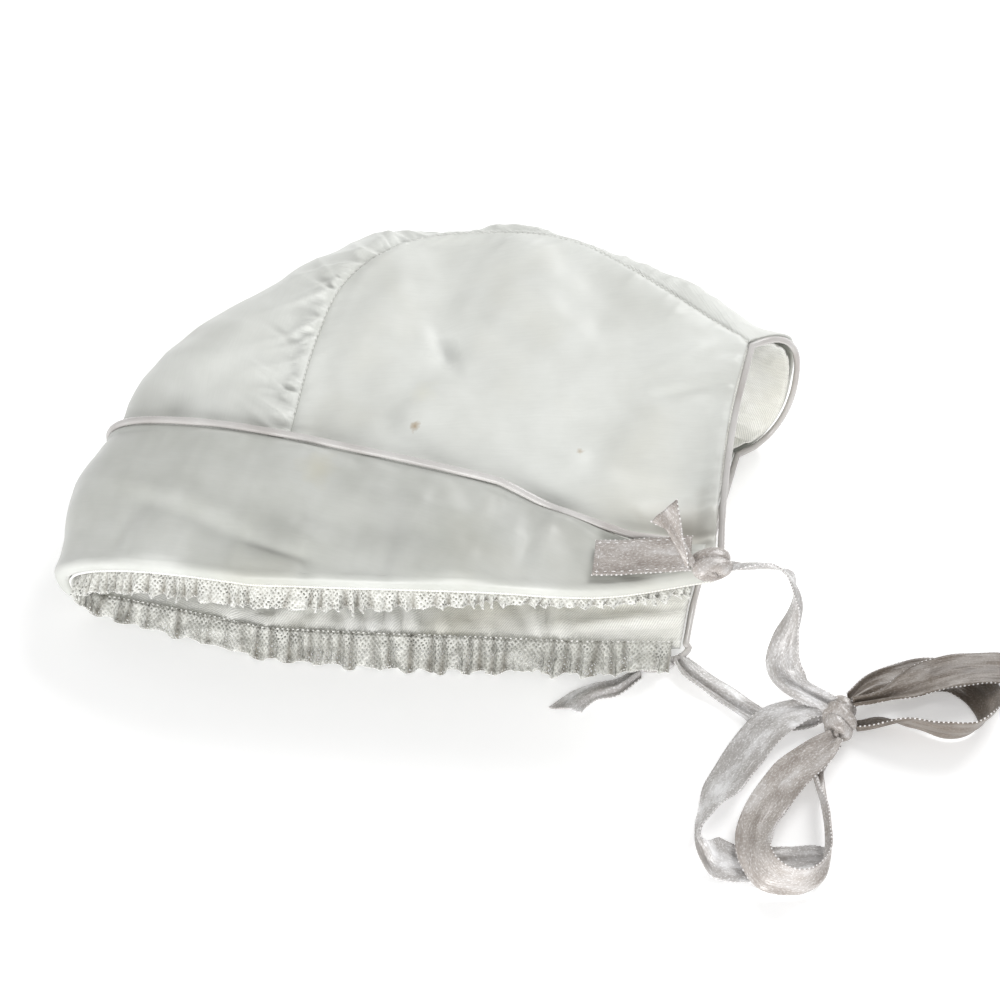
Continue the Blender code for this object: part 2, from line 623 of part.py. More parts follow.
def make_ribbons(collection):
    for name, rows, steps in RIBBONS:
        sheet(name, [ribbon_grid(rows, steps)], RIBBON_WALL, RIBBON, collection)
    half = RIBBON_WIDTH / 2
    lanes = shares(TIE_BAND[0].lane, TIE_BAND[-1].lane, TIE_BAND_STEPS)
    middles = [between(sorted(TIE_BAND), lane) for lane in lanes]
    rows = [
        [raised(lane, middle + side, BAND_RISE) for side in (half, 0.0, -half)]
        for lane, middle in zip(lanes, middles)
    ]
    sheet("tie_band", [rows], RIBBON_WALL, RIBBON, collection)


def make_knot(name, knot, collection):
    """A knot as a flattened ball with the shallow grooves of its wraps."""
    bm = bmesh.new()
    bmesh.ops.create_uvsphere(bm, u_segments=KNOT_SEGMENTS, v_segments=KNOT_RINGS, radius=1.0)
    turn = math.radians(knot.heading)
    for vert in bm.verts:
        groove = 1 - KNOT_GROOVE * (1 + math.cos(math.pi * knot.wraps * vert.co.y)) / 2
        x, y, z = (vert.co[i] * knot.half_size[i] * groove for i in range(3))
        place = Vector((x * math.cos(turn) - y * math.sin(turn), x * math.sin(turn) + y * math.cos(turn), z))
        vert.co = to_metres(place + Vector(knot.centre))
    finish_mesh(bm, name, RIBBON, collection)


def main():
    clear_scene()
    collection = bpy.data.collections.new("baby_bonnet")
    bpy.context.scene.collection.children.link(collection)
    make_panels(collection)
    make_lining(collection)
    make_cuff(collection)
    make_pipings(collection)
    make_lace(collection)
    make_ribbons(collection)
    for name, knot in KNOTS:
        make_knot(name, knot, collection)


main()
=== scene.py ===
"""Looks of a pale satin baby bonnet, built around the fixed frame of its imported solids.

Lengths in the tables are in millimetres in the maker's own frame, whose zero lies at CENTRE seen from the
row's origin, and each mesh is made in metres in the row's frame. A place on the cloth is named by its lane
and its share, as in the solids: lane 0 to 1 crosses the upper side panel from the chin corner to the seam,
1 to 2 the centre panel and 2 to 3 the lower side panel, and the share runs back from the face edge.
"""

import logging
import math
from dataclasses import dataclass, field
from enum import Enum
from typing import Callable, NamedTuple, Optional, Sequence

import bmesh
import bpy
import numpy as np
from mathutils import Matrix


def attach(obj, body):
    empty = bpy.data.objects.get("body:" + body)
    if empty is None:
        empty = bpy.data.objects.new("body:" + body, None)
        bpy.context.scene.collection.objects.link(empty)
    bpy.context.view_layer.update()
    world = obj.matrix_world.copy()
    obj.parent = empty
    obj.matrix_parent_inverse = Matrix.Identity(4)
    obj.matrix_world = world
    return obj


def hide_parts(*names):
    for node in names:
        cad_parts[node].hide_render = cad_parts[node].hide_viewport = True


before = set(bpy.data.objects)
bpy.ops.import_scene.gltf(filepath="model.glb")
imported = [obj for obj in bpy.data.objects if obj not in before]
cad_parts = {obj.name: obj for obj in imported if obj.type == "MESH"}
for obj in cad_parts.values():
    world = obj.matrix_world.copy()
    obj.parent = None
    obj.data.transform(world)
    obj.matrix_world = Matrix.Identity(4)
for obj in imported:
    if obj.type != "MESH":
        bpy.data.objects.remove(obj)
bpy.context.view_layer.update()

LOG = logging.getLogger("baby_bonnet")

MM = 0.001
CENTRE = np.array((-16.441, -3.026, 0.0))
TURN = 0.5
BODY = "root"
RIBBON_WIDTH = 9.5
RIBBON_WALL = 0.32
TABLE_GAP = 0.02
NEAR_SEAM = 1e-5
LINE_STEP = 0.55


class Slot(Enum):
    """The record's material slots."""

    SATIN = "satin"
    LINING = "lining_satin"
    PIPING = "piping_satin"
    LACE = "lace"
    RIBBON = "ribbon"


class Hold(Enum):
    """How a sheet of cloth is held."""

    STRETCHED = "stretched"
    GATHERED = "gathered"
    FOLDED = "folded"


class FarEnd(Enum):
    """What is at the far end of a ribbon."""

    KNOT = "knot"
    BARE = "bare"


# Tables of the shape. The panels, the cuff, TIE_LOWER, BOW_LOOP_SIDE, BOW_TAIL_SIDE, LOWER_TAIL and TIE_BAND
# are as in the solids. The lace and the other ribbons follow the photograph more closely than theirs.


class Station(NamedTuple):
    """A cross-section of the centre panel: its upper seam, its fold and its lower seam."""

    upper: tuple[float, float, float]
    fold: tuple[float, float, float]
    lower: tuple[float, float, float]


STATIONS = (
    Station((-60.0, -54.0, 31.0), (-108.4, -37.5, 10.4), (-58.0, -48.6, 0.0)),
    Station((-52.0, -13.0, 38.0), (-97.0, 5.0, 19.0), (-54.0, -10.0, 0.0)),
    Station((-46.5, 13.0, 44.0), (-87.5, 23.0, 24.0), (-49.0, 12.0, 0.0)),
    Station((-39.0, 31.0, 49.0), (-67.5, 39.0, 26.0), (-41.0, 28.0, 0.0)),
    Station((-24.0, 41.0, 52.0), (-40.5, 51.5, 27.0), (-26.0, 37.0, 0.0)),
    Station((-3.0, 43.0, 54.0), (-8.0, 56.5, 28.0), (-4.0, 42.0, 0.0)),
    Station((19.0, 38.0, 55.0), (23.5, 49.5, 28.0), (19.0, 39.0, 0.0)),
    Station((42.0, 21.5, 53.0), (50.5, 33.0, 27.0), (42.0, 28.0, 0.0)),
    Station((62.6, 6.0, 50.0), (77.0, 20.0, 25.0), (63.0, 15.0, 0.0)),
)


class Side(NamedTuple):
    """The face edge and the nape edge of a side panel."""

    face: tuple[tuple[float, float, float], ...]
    nape: tuple[tuple[float, float, float], ...]


UPPER_SIDE = Side(
    face=(
        (-60.0, -54.0, 31.0), (-32.0, -56.5, 32.5), (-4.0, -58.5, 33.5),
        (24.0, -60.5, 34.0), (52.0, -56.0, 35.0),
    ),
    nape=((52.0, -56.0, 35.0), (54.0, -34.0, 39.0), (57.5, -13.0, 45.0), (62.6, 6.0, 50.0)),
)
LOWER_SIDE = Side(
    face=(
        (-58.0, -48.6, 0.0), (-32.0, -50.2, 0.0), (-6.0, -51.4, 0.0),
        (20.0, -52.8, 0.0), (45.5, -53.0, 0.0),
    ),
    nape=((45.5, -53.0, 0.0), (50.0, -31.0, 0.0), (56.5, -8.0, 0.0), (63.0, 15.0, 0.0)),
)

# Lane from the nearer chin corner, and the cuff's width there.
CUFF_WIDTHS = (
    (0.0, 9.0), (0.12, 11.5), (0.2, 14.5), (0.34, 22.0), (0.5, 29.0), (0.7, 34.0), (1.0, 41.0), (1.5, 42.0),
)
CUFF_END_LANE = 0.035


class Relief(NamedTuple):
    """A soft rise or hollow: middle, heading in degrees, reach along and across, and height."""

    x: float
    y: float
    heading: float
    along: float
    across: float
    height: float


MAIN_RELIEFS = (
    Relief(10.0, 12.0, 20.0, 48.0, 30.0, 3.0),
    Relief(-14.0, 8.0, 80.0, 14.0, 9.0, -1.5),
    Relief(7.0, -40.0, 10.0, 16.0, 7.0, -1.6),
    Relief(-28.0, 24.0, 55.0, 20.0, 9.0, 1.8),
    Relief(-54.0, -42.0, 5.0, 18.0, 5.0, -1.2),
    Relief(44.0, 2.0, 10.0, 16.0, 6.0, 1.4),
    Relief(30.0, -22.0, -20.0, 26.0, 8.0, -1.6),
    Relief(-80.0, 12.0, 60.0, 16.0, 6.0, 1.2),
)
RELIEF_FOOT = 20.0

# Lane from the upper chin corner, and how far the free lace reaches past the face edge.
LACE_FALLS = (
    (0.0, 1.9), (0.3, 1.7), (0.45, 2.0), (0.6, 3.4), (0.75, 4.8), (1.0, 5.0), (1.3, 4.2), (1.45, 3.0),
    (1.62, 3.2), (1.8, 5.4), (2.0, 7.0), (2.3, 8.2), (3.0, 7.6),
)
# Lane from the upper chin corner, and how steeply the free lace hangs, in degrees.
LACE_DROOPS = ((0.0, 66.0), (1.0, 60.0), (1.5, 30.0), (2.0, 34.0), (2.5, 32.0), (2.8, 16.0), (3.0, 12.0))
# Lane from the upper chin corner, and how far the lace reaches back inside the face edge.
LACE_ROOTS = ((0.0, 2.4), (1.2, 2.4), (1.5, 1.6), (1.7, 1.0), (3.0, 0.9))


class Row(NamedTuple):
    """A ribbon's middle, the heading and rise in degrees of the line across it, and its share of width."""

    x: float
    y: float
    z: float
    heading: float
    rise: float
    width: float


TIE_UPPER = (
    Row(54.3, -57.0, 40.0, -90.0, 40.0, 0.4), Row(59.0, -56.4, 39.6, -90.0, 55.0, 0.8),
    Row(63.4, -55.2, 38.0, -90.0, 58.0, 1.0), Row(67.4, -54.0, 34.5, -90.0, 40.0, 1.0),
    Row(70.4, -53.6, 29.5, -88.0, 18.0, 0.9), Row(71.6, -54.6, 24.0, -80.0, 0.0, 0.75),
    Row(70.8, -56.6, 18.0, -62.0, -8.0, 0.75), Row(69.2, -59.2, 12.5, -36.0, -8.0, 0.85),
    Row(69.2, -62.8, 8.5, -14.0, 0.0, 1.0), Row(71.6, -66.6, 6.5, 10.0, 10.0, 0.75),
    Row(80.6, -72.4, 5.8, 44.0, 15.0, 0.45),
)
TIE_LOWER = (
    Row(43.7, -54.1, 2.6, 45.0, -8.0, 0.35), Row(46.9, -58.0, 1.6, 45.0, -6.0, 0.6),
    Row(51.6, -62.0, 1.0, 45.0, -4.0, 0.62), Row(56.4, -66.0, 0.7, 45.0, 0.0, 0.62),
    Row(60.6, -69.6, 0.6, 48.0, 0.0, 0.62), Row(66.2, -73.8, 0.6, 60.0, 0.0, 0.6),
    Row(78.5, -75.8, 1.2, 85.0, 0.0, 0.4),
)
BOW_TAIL_NEAR = (
    Row(77.3, -71.4, 4.4, -70.0, 0.0, 0.45), Row(70.4, -72.8, 4.2, -50.0, 0.0, 0.8),
    Row(64.4, -76.6, 3.6, -35.0, 0.0, 1.0), Row(58.0, -84.4, 2.0, -28.0, 5.0, 1.0),
    Row(52.4, -93.8, 2.6, -22.0, 20.0, 1.0), Row(48.0, -102.6, 4.6, -12.0, 55.0, 0.6),
    Row(45.8, -108.6, 5.4, 0.0, 80.0, 0.3), Row(46.8, -112.2, 5.0, 45.0, 68.0, 0.45),
    Row(49.8, -113.6, 3.0, 78.0, 34.0, 1.0), Row(53.8, -113.8, 1.0, 88.0, 6.0, 1.0),
    Row(57.6, -114.0, 0.6, 90.0, 0.0, 1.0), Row(62.4, -114.2, 0.8, 90.0, 3.0, 1.0),
    Row(67.6, -113.8, 0.7, 90.0, -3.0, 1.0), Row(72.0, -113.6, 0.9, 88.0, 3.0, 1.0),
    Row(75.4, -113.8, 0.8, 84.0, 2.0, 0.9),
)
BOW_LOOP_NEAR = (
    Row(79.7, -80.4, 5.2, -40.0, 0.0, 0.5), Row(75.2, -85.0, 5.0, -32.0, 0.0, 0.9),
    Row(69.0, -90.8, 4.6, -30.0, 0.0, 1.0), Row(63.4, -98.4, 4.0, -28.0, 5.0, 1.0),
    Row(59.8, -105.2, 4.4, -20.0, 18.0, 1.0), Row(58.6, -110.6, 5.2, -8.0, 32.0, 1.0),
    Row(58.8, -115.0, 5.7, 10.0, 46.0, 1.0), Row(60.6, -119.0, 5.7, 36.0, 58.0, 1.0),
    Row(64.2, -121.2, 5.6, 70.0, 78.0, 1.0), Row(68.8, -121.8, 5.6, 100.0, 84.0, 1.0),
    Row(73.0, -119.4, 5.5, 140.0, 80.0, 0.8), Row(75.2, -114.4, 5.3, 168.0, 82.0, 0.62),
    Row(76.0, -107.4, 5.1, 178.0, 82.0, 0.55), Row(75.8, -100.0, 4.2, 180.0, 76.0, 0.5),
    Row(75.4, -93.0, 2.6, 178.0, 60.0, 0.45), Row(75.8, -86.8, 1.2, 176.0, 20.0, 0.4),
    Row(79.6, -79.6, 0.6, 174.0, 0.0, 0.5),
)
BOW_LOOP_SIDE = (
    Row(85.0, -69.8, 5.2, 125.0, 0.0, 0.4), Row(90.3, -65.6, 4.4, 122.0, 10.0, 0.7),
    Row(96.6, -62.6, 3.4, 112.0, 12.0, 0.9), Row(103.2, -60.2, 2.6, 100.0, 8.0, 1.0),
    Row(109.0, -59.6, 1.8, 85.0, 4.0, 1.0), Row(113.6, -61.2, 1.4, 55.0, 5.0, 1.0),
    Row(116.6, -64.4, 2.0, 22.0, 14.0, 1.0), Row(118.2, -69.6, 3.6, -10.0, 40.0, 1.0),
    Row(117.0, -75.2, 5.1, -50.0, 66.0, 1.0), Row(112.6, -78.6, 5.3, -82.0, 74.0, 1.0),
    Row(106.0, -78.8, 5.3, -100.0, 74.0, 1.0), Row(99.2, -76.6, 5.1, -110.0, 66.0, 1.0),
    Row(92.6, -75.0, 3.8, -108.0, 40.0, 0.8), Row(85.9, -75.2, 2.4, -100.0, 20.0, 0.4),
)
BOW_TAIL_SIDE = (
    Row(84.9, -71.8, 7.0, 100.0, 0.0, 0.3), Row(91.6, -70.4, 7.4, 100.0, 0.0, 0.4),
    Row(97.6, -67.8, 7.6, 108.0, 0.0, 0.8), Row(104.6, -64.4, 7.6, 106.0, 0.0, 1.0),
    Row(112.6, -62.0, 7.2, 104.0, 0.0, 1.0), Row(121.0, -60.6, 6.0, 98.0, 0.0, 1.0),
    Row(129.0, -59.6, 3.4, 95.0, 0.0, 1.0), Row(136.0, -59.2, 1.2, 94.0, 0.0, 1.0),
    Row(142.0, -59.0, 0.7, 94.0, 0.0, 1.0), Row(149.0, -59.0, 0.6, 94.0, 0.0, 1.0),
)
CORNER_TAIL = (
    Row(44.6, -58.3, 42.1, -90.0, 48.0, 0.3), Row(43.4, -57.0, 44.4, -72.0, 46.0, 0.42),
    Row(41.8, -54.8, 46.6, -50.0, 44.0, 0.5), Row(40.0, -51.8, 48.8, -28.0, 40.0, 0.75),
    Row(38.2, -48.9, 50.6, -10.0, 36.0, 0.95),
)
LOWER_TAIL = (
    Row(34.5, -57.9, 0.9, 105.0, 0.0, 0.3), Row(29.0, -62.0, 0.6, 100.0, 0.0, 0.5),
    Row(23.6, -63.4, 0.6, 96.0, 0.0, 0.5), Row(19.4, -65.6, 0.6, 130.0, 0.0, 0.6),
    Row(15.8, -69.0, 0.6, 150.0, 0.0, 0.7),
)
# The small dents and humps that each piece of cloth shows.
SIDE_CREASES = (
    Relief(-13.7, 9.6, 112.0, 8.5, 2.6, -1.35), Relief(-7.0, 12.0, 112.0, 9.0, 4.0, 0.6),
    Relief(-19.0, -6.0, 30.0, 6.0, 4.5, 0.9), Relief(-26.0, -9.5, 60.0, 6.0, 3.5, -0.8),
    Relief(48.5, -3.3, 16.0, 10.0, 1.8, 1.1), Relief(46.0, -7.0, 12.0, 10.0, 2.2, -0.9),
    Relief(46.5, 2.0, 24.0, 8.0, 1.6, 0.7),
    Relief(43.0, -44.0, -4.0, 11.0, 1.9, -0.9), Relief(42.0, -39.0, -4.0, 12.0, 3.0, 0.5),
    Relief(-34.0, 10.0, 60.0, 12.0, 3.5, 0.5), Relief(8.0, 28.0, 5.0, 16.0, 4.0, -0.6),
    Relief(26.0, 6.0, -28.0, 14.0, 4.0, 0.5), Relief(30.0, -10.0, 60.0, 12.0, 4.0, -0.5),
)
# Where the cloth lies flatter than its solid, near the top and back outline.
FLATTER = (
    Relief(-62.0, 36.0, 36.0, 20.0, 9.0, -1.9), Relief(-30.0, 50.0, 16.0, 18.0, 9.0, -2.2),
    Relief(6.0, 54.0, -10.0, 24.0, 9.0, -4.0), Relief(33.0, 46.0, -34.0, 18.0, 9.0, -6.0),
    Relief(-90.0, 12.0, 55.0, 7.0, 7.0, 1.6),
)
CENTRE_CREASES = FLATTER + (
    Relief(-62.0, 2.0, -18.0, 13.0, 3.2, -0.8), Relief(-60.0, -7.0, -14.0, 12.0, 3.0, 0.6),
    Relief(-72.0, 12.0, -25.0, 11.0, 3.0, 0.6), Relief(-56.0, 18.0, -30.0, 12.0, 2.4, -0.7),
    Relief(-84.0, -6.0, 70.0, 9.0, 3.0, -0.6),
)
# The fuller corner of the cuff over the forehead.
CUFF_CORNER = (Relief(-104.0, -14.0, 62.0, 12.0, 9.0, 2.3),)
CUFF_CREASES = (
    Relief(-78.0, -30.0, -30.0, 18.0, 3.0, 1.5), Relief(-74.0, -37.0, -28.0, 16.0, 3.6, -1.3),
    Relief(-53.5, -47.5, -24.0, 8.5, 1.7, -1.5), Relief(-50.0, -43.0, -20.0, 12.0, 3.0, 0.9),
    Relief(-46.5, -51.0, 96.0, 4.6, 2.4, -0.8), Relief(-27.0, -51.0, 84.0, 5.0, 2.2, -1.0),
    Relief(6.6, -47.5, 80.0, 5.6, 2.2, -1.2), Relief(11.0, -49.0, 78.0, 6.0, 2.2, 0.8),
    Relief(-20.0, -38.0, -12.0, 20.0, 4.0, 0.8), Relief(-22.0, -45.0, -12.0, 20.0, 3.6, -0.8),
    Relief(16.0, -40.0, -14.0, 16.0, 3.4, 0.7), Relief(-90.0, -34.0, 55.0, 8.0, 3.0, -0.6),
    Relief(28.0, -50.0, -6.0, 12.0, 2.4, -0.7),
)
LINING_CREASES = FLATTER + (
    Relief(-13.7, 9.6, 112.0, 8.5, 4.5, -1.6), Relief(-26.0, -9.5, 60.0, 7.0, 5.0, -0.9),
    Relief(-66.0, -42.0, 75.0, 9.0, 1.6, -1.8), Relief(-60.0, -42.0, 110.0, 8.0, 1.5, -1.3),
    Relief(-51.0, -42.0, 30.0, 9.0, 1.7, -2.0), Relief(-44.0, -42.0, 60.0, 8.0, 1.6, -1.6),
    Relief(-37.0, -44.0, 95.0, 9.0, 1.5, -1.5), Relief(-31.0, -43.0, 84.0, 10.0, 1.3, -1.8),
    Relief(-26.5, -43.0, 90.0, 10.0, 1.2, -1.7), Relief(-22.0, -43.0, 98.0, 10.0, 1.4, -1.6),
    Relief(-14.0, -43.0, 84.0, 10.0, 2.0, -1.2), Relief(-3.0, -43.0, 92.0, 10.0, 1.8, -1.0),
    Relief(9.0, -44.0, 92.0, 10.0, 1.5, -1.6), Relief(15.0, -44.0, 86.0, 9.0, 1.8, -1.2),
    Relief(33.0, -46.0, 4.0, 16.0, 1.5, -2.3), Relief(34.0, -40.5, -3.0, 15.0, 1.6, -2.2),
    Relief(30.0, -34.0, 3.0, 16.0, 2.2, -1.8),
)
# Lane, and the distance of the stitched band's middle from the face edge.
TIE_BAND = ((0.066, 6.0), (0.14, 7.2), (0.2, 7.8), (0.275, 8.2))


# Small shared maths.


def curve_points(points: Sequence[Sequence[float]], shares: np.ndarray) -> np.ndarray:
    """Places along an even Catmull-Rom curve.

    Args:
        points: The curve's own points.
        shares: Where to look, from 0 to 1.

    Returns:
        One point for each share.
    """
    own = np.asarray(points, float)
    last = len(own) - 1
    more = np.vstack([2 * own[0] - own[1], own, 2 * own[-1] - own[-2]])
    place = np.clip(shares, 0.0, 1.0) * last
    index = np.minimum(place.astype(int), last - 1)
    step = (place - index)[..., None]
    before, near, far, after = (more[index + k] for k in range(4))
    third = 3 * (near - far) + after - before
    second = 2 * before - 5 * near + 4 * far - after
    return near + 0.5 * step * ((far - before) + step * (second + step * third))


def table_value(rows: Sequence[tuple[float, float]], place: np.ndarray) -> np.ndarray:
    """Values in proportion between the rows of a table of (place, value)."""
    return np.interp(place, [row[0] for row in rows], [row[1] for row in rows])


def ease(step: np.ndarray) -> np.ndarray:
    """A smooth step from 0 to 1."""
    step = np.clip(step, 0.0, 1.0)
    return step * step * (3 - 2 * step)


def unit(vectors: np.ndarray) -> np.ndarray:
    """Vectors of length one."""
    return vectors / np.maximum(np.linalg.norm(vectors, axis=-1, keepdims=True), 1e-9)


def run_lengths(points: np.ndarray) -> np.ndarray:
    """The length along a line of points, from its start to each point."""
    steps = np.linalg.norm(np.diff(points, axis=0), axis=-1)
    return np.concatenate([np.zeros((1,) + steps.shape[1:]), np.cumsum(steps, axis=0)])


def even_line(points: np.ndarray, spacing: float) -> np.ndarray:
    """The same line with its points evenly spaced.

    Args:
        points: The line's points.
        spacing: The wanted step, in millimetres.

    Returns:
        The evenly spaced points, the two ends among them.
    """
    lengths = run_lengths(points)
    wanted = np.linspace(0.0, lengths[-1], max(2, int(round(lengths[-1] / spacing)) + 1))
    return np.stack([np.interp(wanted, lengths, points[:, k]) for k in range(3)], axis=-1)


def grid_normals(grid: np.ndarray) -> np.ndarray:
    """The directions square to a grid of points, by its rows and columns."""
    return unit(np.cross(np.gradient(grid, axis=0), np.gradient(grid, axis=1)))


def relief_height(points: np.ndarray, reliefs: Sequence[Relief]) -> np.ndarray:
    """The summed height of soft rises and hollows, seen from above.

    Args:
        points: Places on the cloth.
        reliefs: The rises and hollows.

    Returns:
        A height for each place.
    """
    total = np.zeros(points.shape[:-1])
    for r in reliefs:
        turn = math.radians(r.heading)
        dx, dy = points[..., 0] - r.x, points[..., 1] - r.y
        along = (dx * math.cos(turn) + dy * math.sin(turn)) / r.along
        across = (dy * math.cos(turn) - dx * math.sin(turn)) / r.across
        total += r.height * np.exp(-along * along - across * across)
    return total


@dataclass(frozen=True)
class Ripples:
    """Long low waves of cloth in many directions."""

    seed: int
    count: int = 14
    shortest: float = 9.0
    longest: float = 34.0
    height: float = 0.3

    def lift(self, points: np.ndarray) -> np.ndarray:
        """The waves' height at each point.

        Args:
            points: Places on the cloth.

        Returns:
            A height for each place.
        """
        chance = np.random.default_rng(self.seed)
        total = np.zeros(points.shape[:-1])
        for _ in range(self.count):
            span = chance.uniform(self.shortest, self.longest)
            way = unit(chance.normal(size=3))
            bend = unit(chance.normal(size=3))
            phase, swing = chance.uniform(0, 2 * math.pi, 2)
            warp = 1.4 * np.sin(points @ bend * (2 * math.pi / (2.3 * span)) + swing)
            strength = self.height * span / self.longest
            total += strength * np.sin(points @ way * (2 * math.pi / span) + phase + warp)
        return total / math.sqrt(self.count) * 1.4


@dataclass(frozen=True)
class Puckers:
    """Short ridges of cloth that start at a seam."""

    seed: int
    spacing: float
    length: tuple[float, float]
    width: tuple[float, float]
    height: tuple[float, float]
    lean: float = 0.35

    def lift(self, run: np.ndarray, back: np.ndarray, total: float) -> np.ndarray:
        """The ridges' height.

        Args:
            run: Length along the seam at each point.
            back: Distance from the seam at each point.
            total: The seam's whole length.

        Returns:
            A height for each point.
        """
        chance = np.random.default_rng(self.seed)
        lifted = np.zeros(run.shape)
        for place in np.arange(0.0, total, self.spacing):
            start = place + chance.uniform(-0.45, 0.45) * self.spacing
            length, width = chance.uniform(*self.length), chance.uniform(*self.width)
            height, lean = chance.uniform(*self.height), chance.uniform(-self.lean, self.lean)
            reach = back / length
            across = np.abs(run - start - lean * back) / (width * (1 + 1.1 * reach))
            start_up = 1 - np.exp(-(back / (1.3 * width)) ** 2)
            lifted += height * (np.exp(-across ** 1.4) * np.exp(-reach * reach) * start_up)
        return lifted


# The cloth's shape.


@dataclass
class ClothShape:
    """The middle of the outer cloth, as the solids have it."""

    panel_wall: float = 1.2
    cuff_rise: float = 2.3
    cuff_wall: float = 1.2
    sag_start: float = 3.0
    sag_length: float = 11.0
    fold_roundness: float = 0.85
    line_steps: int = 24
    table_lanes: int = 601
    distances: np.ndarray = field(init=False, repr=False)

    def __post_init__(self) -> None:
        """Measures how far each place lies from the face edge."""
        lanes = np.linspace(0.0, 3.0, self.table_lanes)
        shares = np.linspace(0.0, 2.0, 2 * self.line_steps + 1)
        inside = (lanes > 1.0) & (lanes < 2.0)
        reach = np.where(inside, 2.0, 1.0)[:, None]
        grid = self.raw(np.repeat(lanes[:, None], len(shares), 1), np.minimum(shares[None], reach))
        self.distances = run_lengths(grid.transpose(1, 0, 2)).T

    def seam(self, edge: str, along: np.ndarray) -> np.ndarray:
        """Places on a seam or on the fold, by the share of the way along the centre panel."""
        return curve_points([getattr(station, edge) for station in STATIONS], along)

    def side_point(self, side: Side, edge: str, across: np.ndarray, share: np.ndarray) -> np.ndarray:
        """Places on a side panel, blended from its four edges.

        Args:
            side: The panel's face edge and nape edge.
            edge: The name of its seam.
            across: From the seam (0) to the nape edge (1).
            share: From the face edge (0) back to the seam (1).

        Returns:
            The places.
        """
        front, nape = curve_points(side.face, across), curve_points(side.nape, share)
        seam_front = self.seam(edge, TURN * share)
        seam_back = self.seam(edge, TURN + (1 - TURN) * across)
        a, s = across[..., None], share[..., None]
        ends = self.seam(edge, np.array([0.0, TURN, 1.0]))
        corners = (1 - a) * (1 - s) * ends[0] + a * (1 - s) * np.array(side.face[-1])
        corners = corners + (1 - a) * s * ends[1] + a * s * ends[2]
        return (1 - s) * front + s * seam_back + (1 - a) * seam_front + a * nape - corners

    def strip_point(self, along: np.ndarray, around: np.ndarray) -> np.ndarray:
        """Places on the centre panel: half an ellipse from the upper seam over the fold to the lower.

        Args:
            along: From the forehead (0) to the nape (1).
            around: From the upper seam (0) to the lower (1).

        Returns:
            The places.
        """
        upper, fold, lower = (self.seam(edge, along) for edge in ("upper", "fold", "lower"))
        middle, angle = (upper + lower) / 2, math.pi * np.clip(around, 0.0, 1.0)
        out = (np.maximum(np.sin(angle), 0.0) ** self.fold_roundness)[..., None]
        turn = np.cos(angle)
        high = (np.sign(turn) * np.abs(turn) ** self.fold_roundness)[..., None]
        return middle + (fold - middle) * out + (upper - lower) / 2 * high

    def raw(self, lane: np.ndarray, share: np.ndarray) -> np.ndarray:
        """Places on the cloth before it settles.

        Args:
            lane: Lanes from 0 to 3.
            share: Shares of the way back, to 2 on the centre panel.

        Returns:
            The places.
        """
        made = np.empty(lane.shape + (3,))
        upper, lower = lane <= 1.0, lane >= 2.0
        strip = ~(upper | lower)
        made[upper] = self.side_point(UPPER_SIDE, "upper", 1 - lane[upper], share[upper])
        made[lower] = self.side_point(LOWER_SIDE, "lower", lane[lower] - 2, share[lower])
        made[strip] = self.strip_point(TURN * share[strip], lane[strip] - 1)
        return made

    def cuff_width(self, lane: np.ndarray) -> np.ndarray:
        """How wide the cuff is at each lane."""
        return table_value(CUFF_WIDTHS, np.minimum(lane, 3.0 - lane))

    def distance(self, lane: np.ndarray, share: np.ndarray) -> np.ndarray:
        """The distance from the face edge along the cloth.

        Args:
            lane: Lanes.
            share: Shares of the way back.

        Returns:
            The distances.
        """
        row = np.clip(lane / 3.0 * (self.table_lanes - 1), 0, self.table_lanes - 1.001)
        column = np.clip(share * self.line_steps, 0, 2 * self.line_steps - 0.001)
        i, j = row.astype(int), column.astype(int)
        u, v = row - i, column - j
        d = self.distances
        near = d[i, j] * (1 - v) + d[i, j + 1] * v
        far = d[i + 1, j] * (1 - v) + d[i + 1, j + 1] * v
        return near * (1 - u) + far * u

    def cloth(self, lane: np.ndarray, share: np.ndarray) -> np.ndarray:
        """Places on the settled cloth.

        Args:
            lane: Lanes.
            share: Shares of the way back.

        Returns:
            The places.
        """
        points = self.raw(lane, share)
        behind = self.distance(lane, share) - self.cuff_width(lane)
        on_cuff, on_floor = self.cuff_rise + self.cuff_wall / 2, self.panel_wall / 2 + 0.03
        low = on_cuff + (on_floor - on_cuff) * ease((behind - self.sag_start) / self.sag_length)
        height = relief_height(points, MAIN_RELIEFS) * ease((points[..., 2] - RELIEF_FOOT) / RELIEF_FOOT)
        points[..., 2] = np.maximum(points[..., 2] + height, low)
        return points

    def edge(self, lanes: np.ndarray, distance: np.ndarray) -> np.ndarray:
        """Places at distances back from the face edge, or in front of it where negative.

        Args:
            lanes: One lane for each row.
            distance: Distances, rows by columns.

        Returns:
            The places, rows by columns.
        """
        lanes = np.clip(lanes, 0.0, 3.0)
        columns = np.linspace(0.0, 2.0, 2 * self.line_steps + 1)
        table = self.distance(*np.broadcast_arrays(lanes[:, None], columns[None]))
        shares = np.stack([np.interp(want, row, columns) for want, row in zip(distance, table)])
        points = self.cloth(np.repeat(lanes[:, None], distance.shape[1], 1), shares)
        first = self.cloth(lanes, np.zeros(len(lanes)))
        second = self.cloth(lanes, np.full(len(lanes), 1.0 / self.line_steps))
        forward = unit(first - second)[:, None, :]
        return points + np.maximum(-distance, 0.0)[..., None] * forward

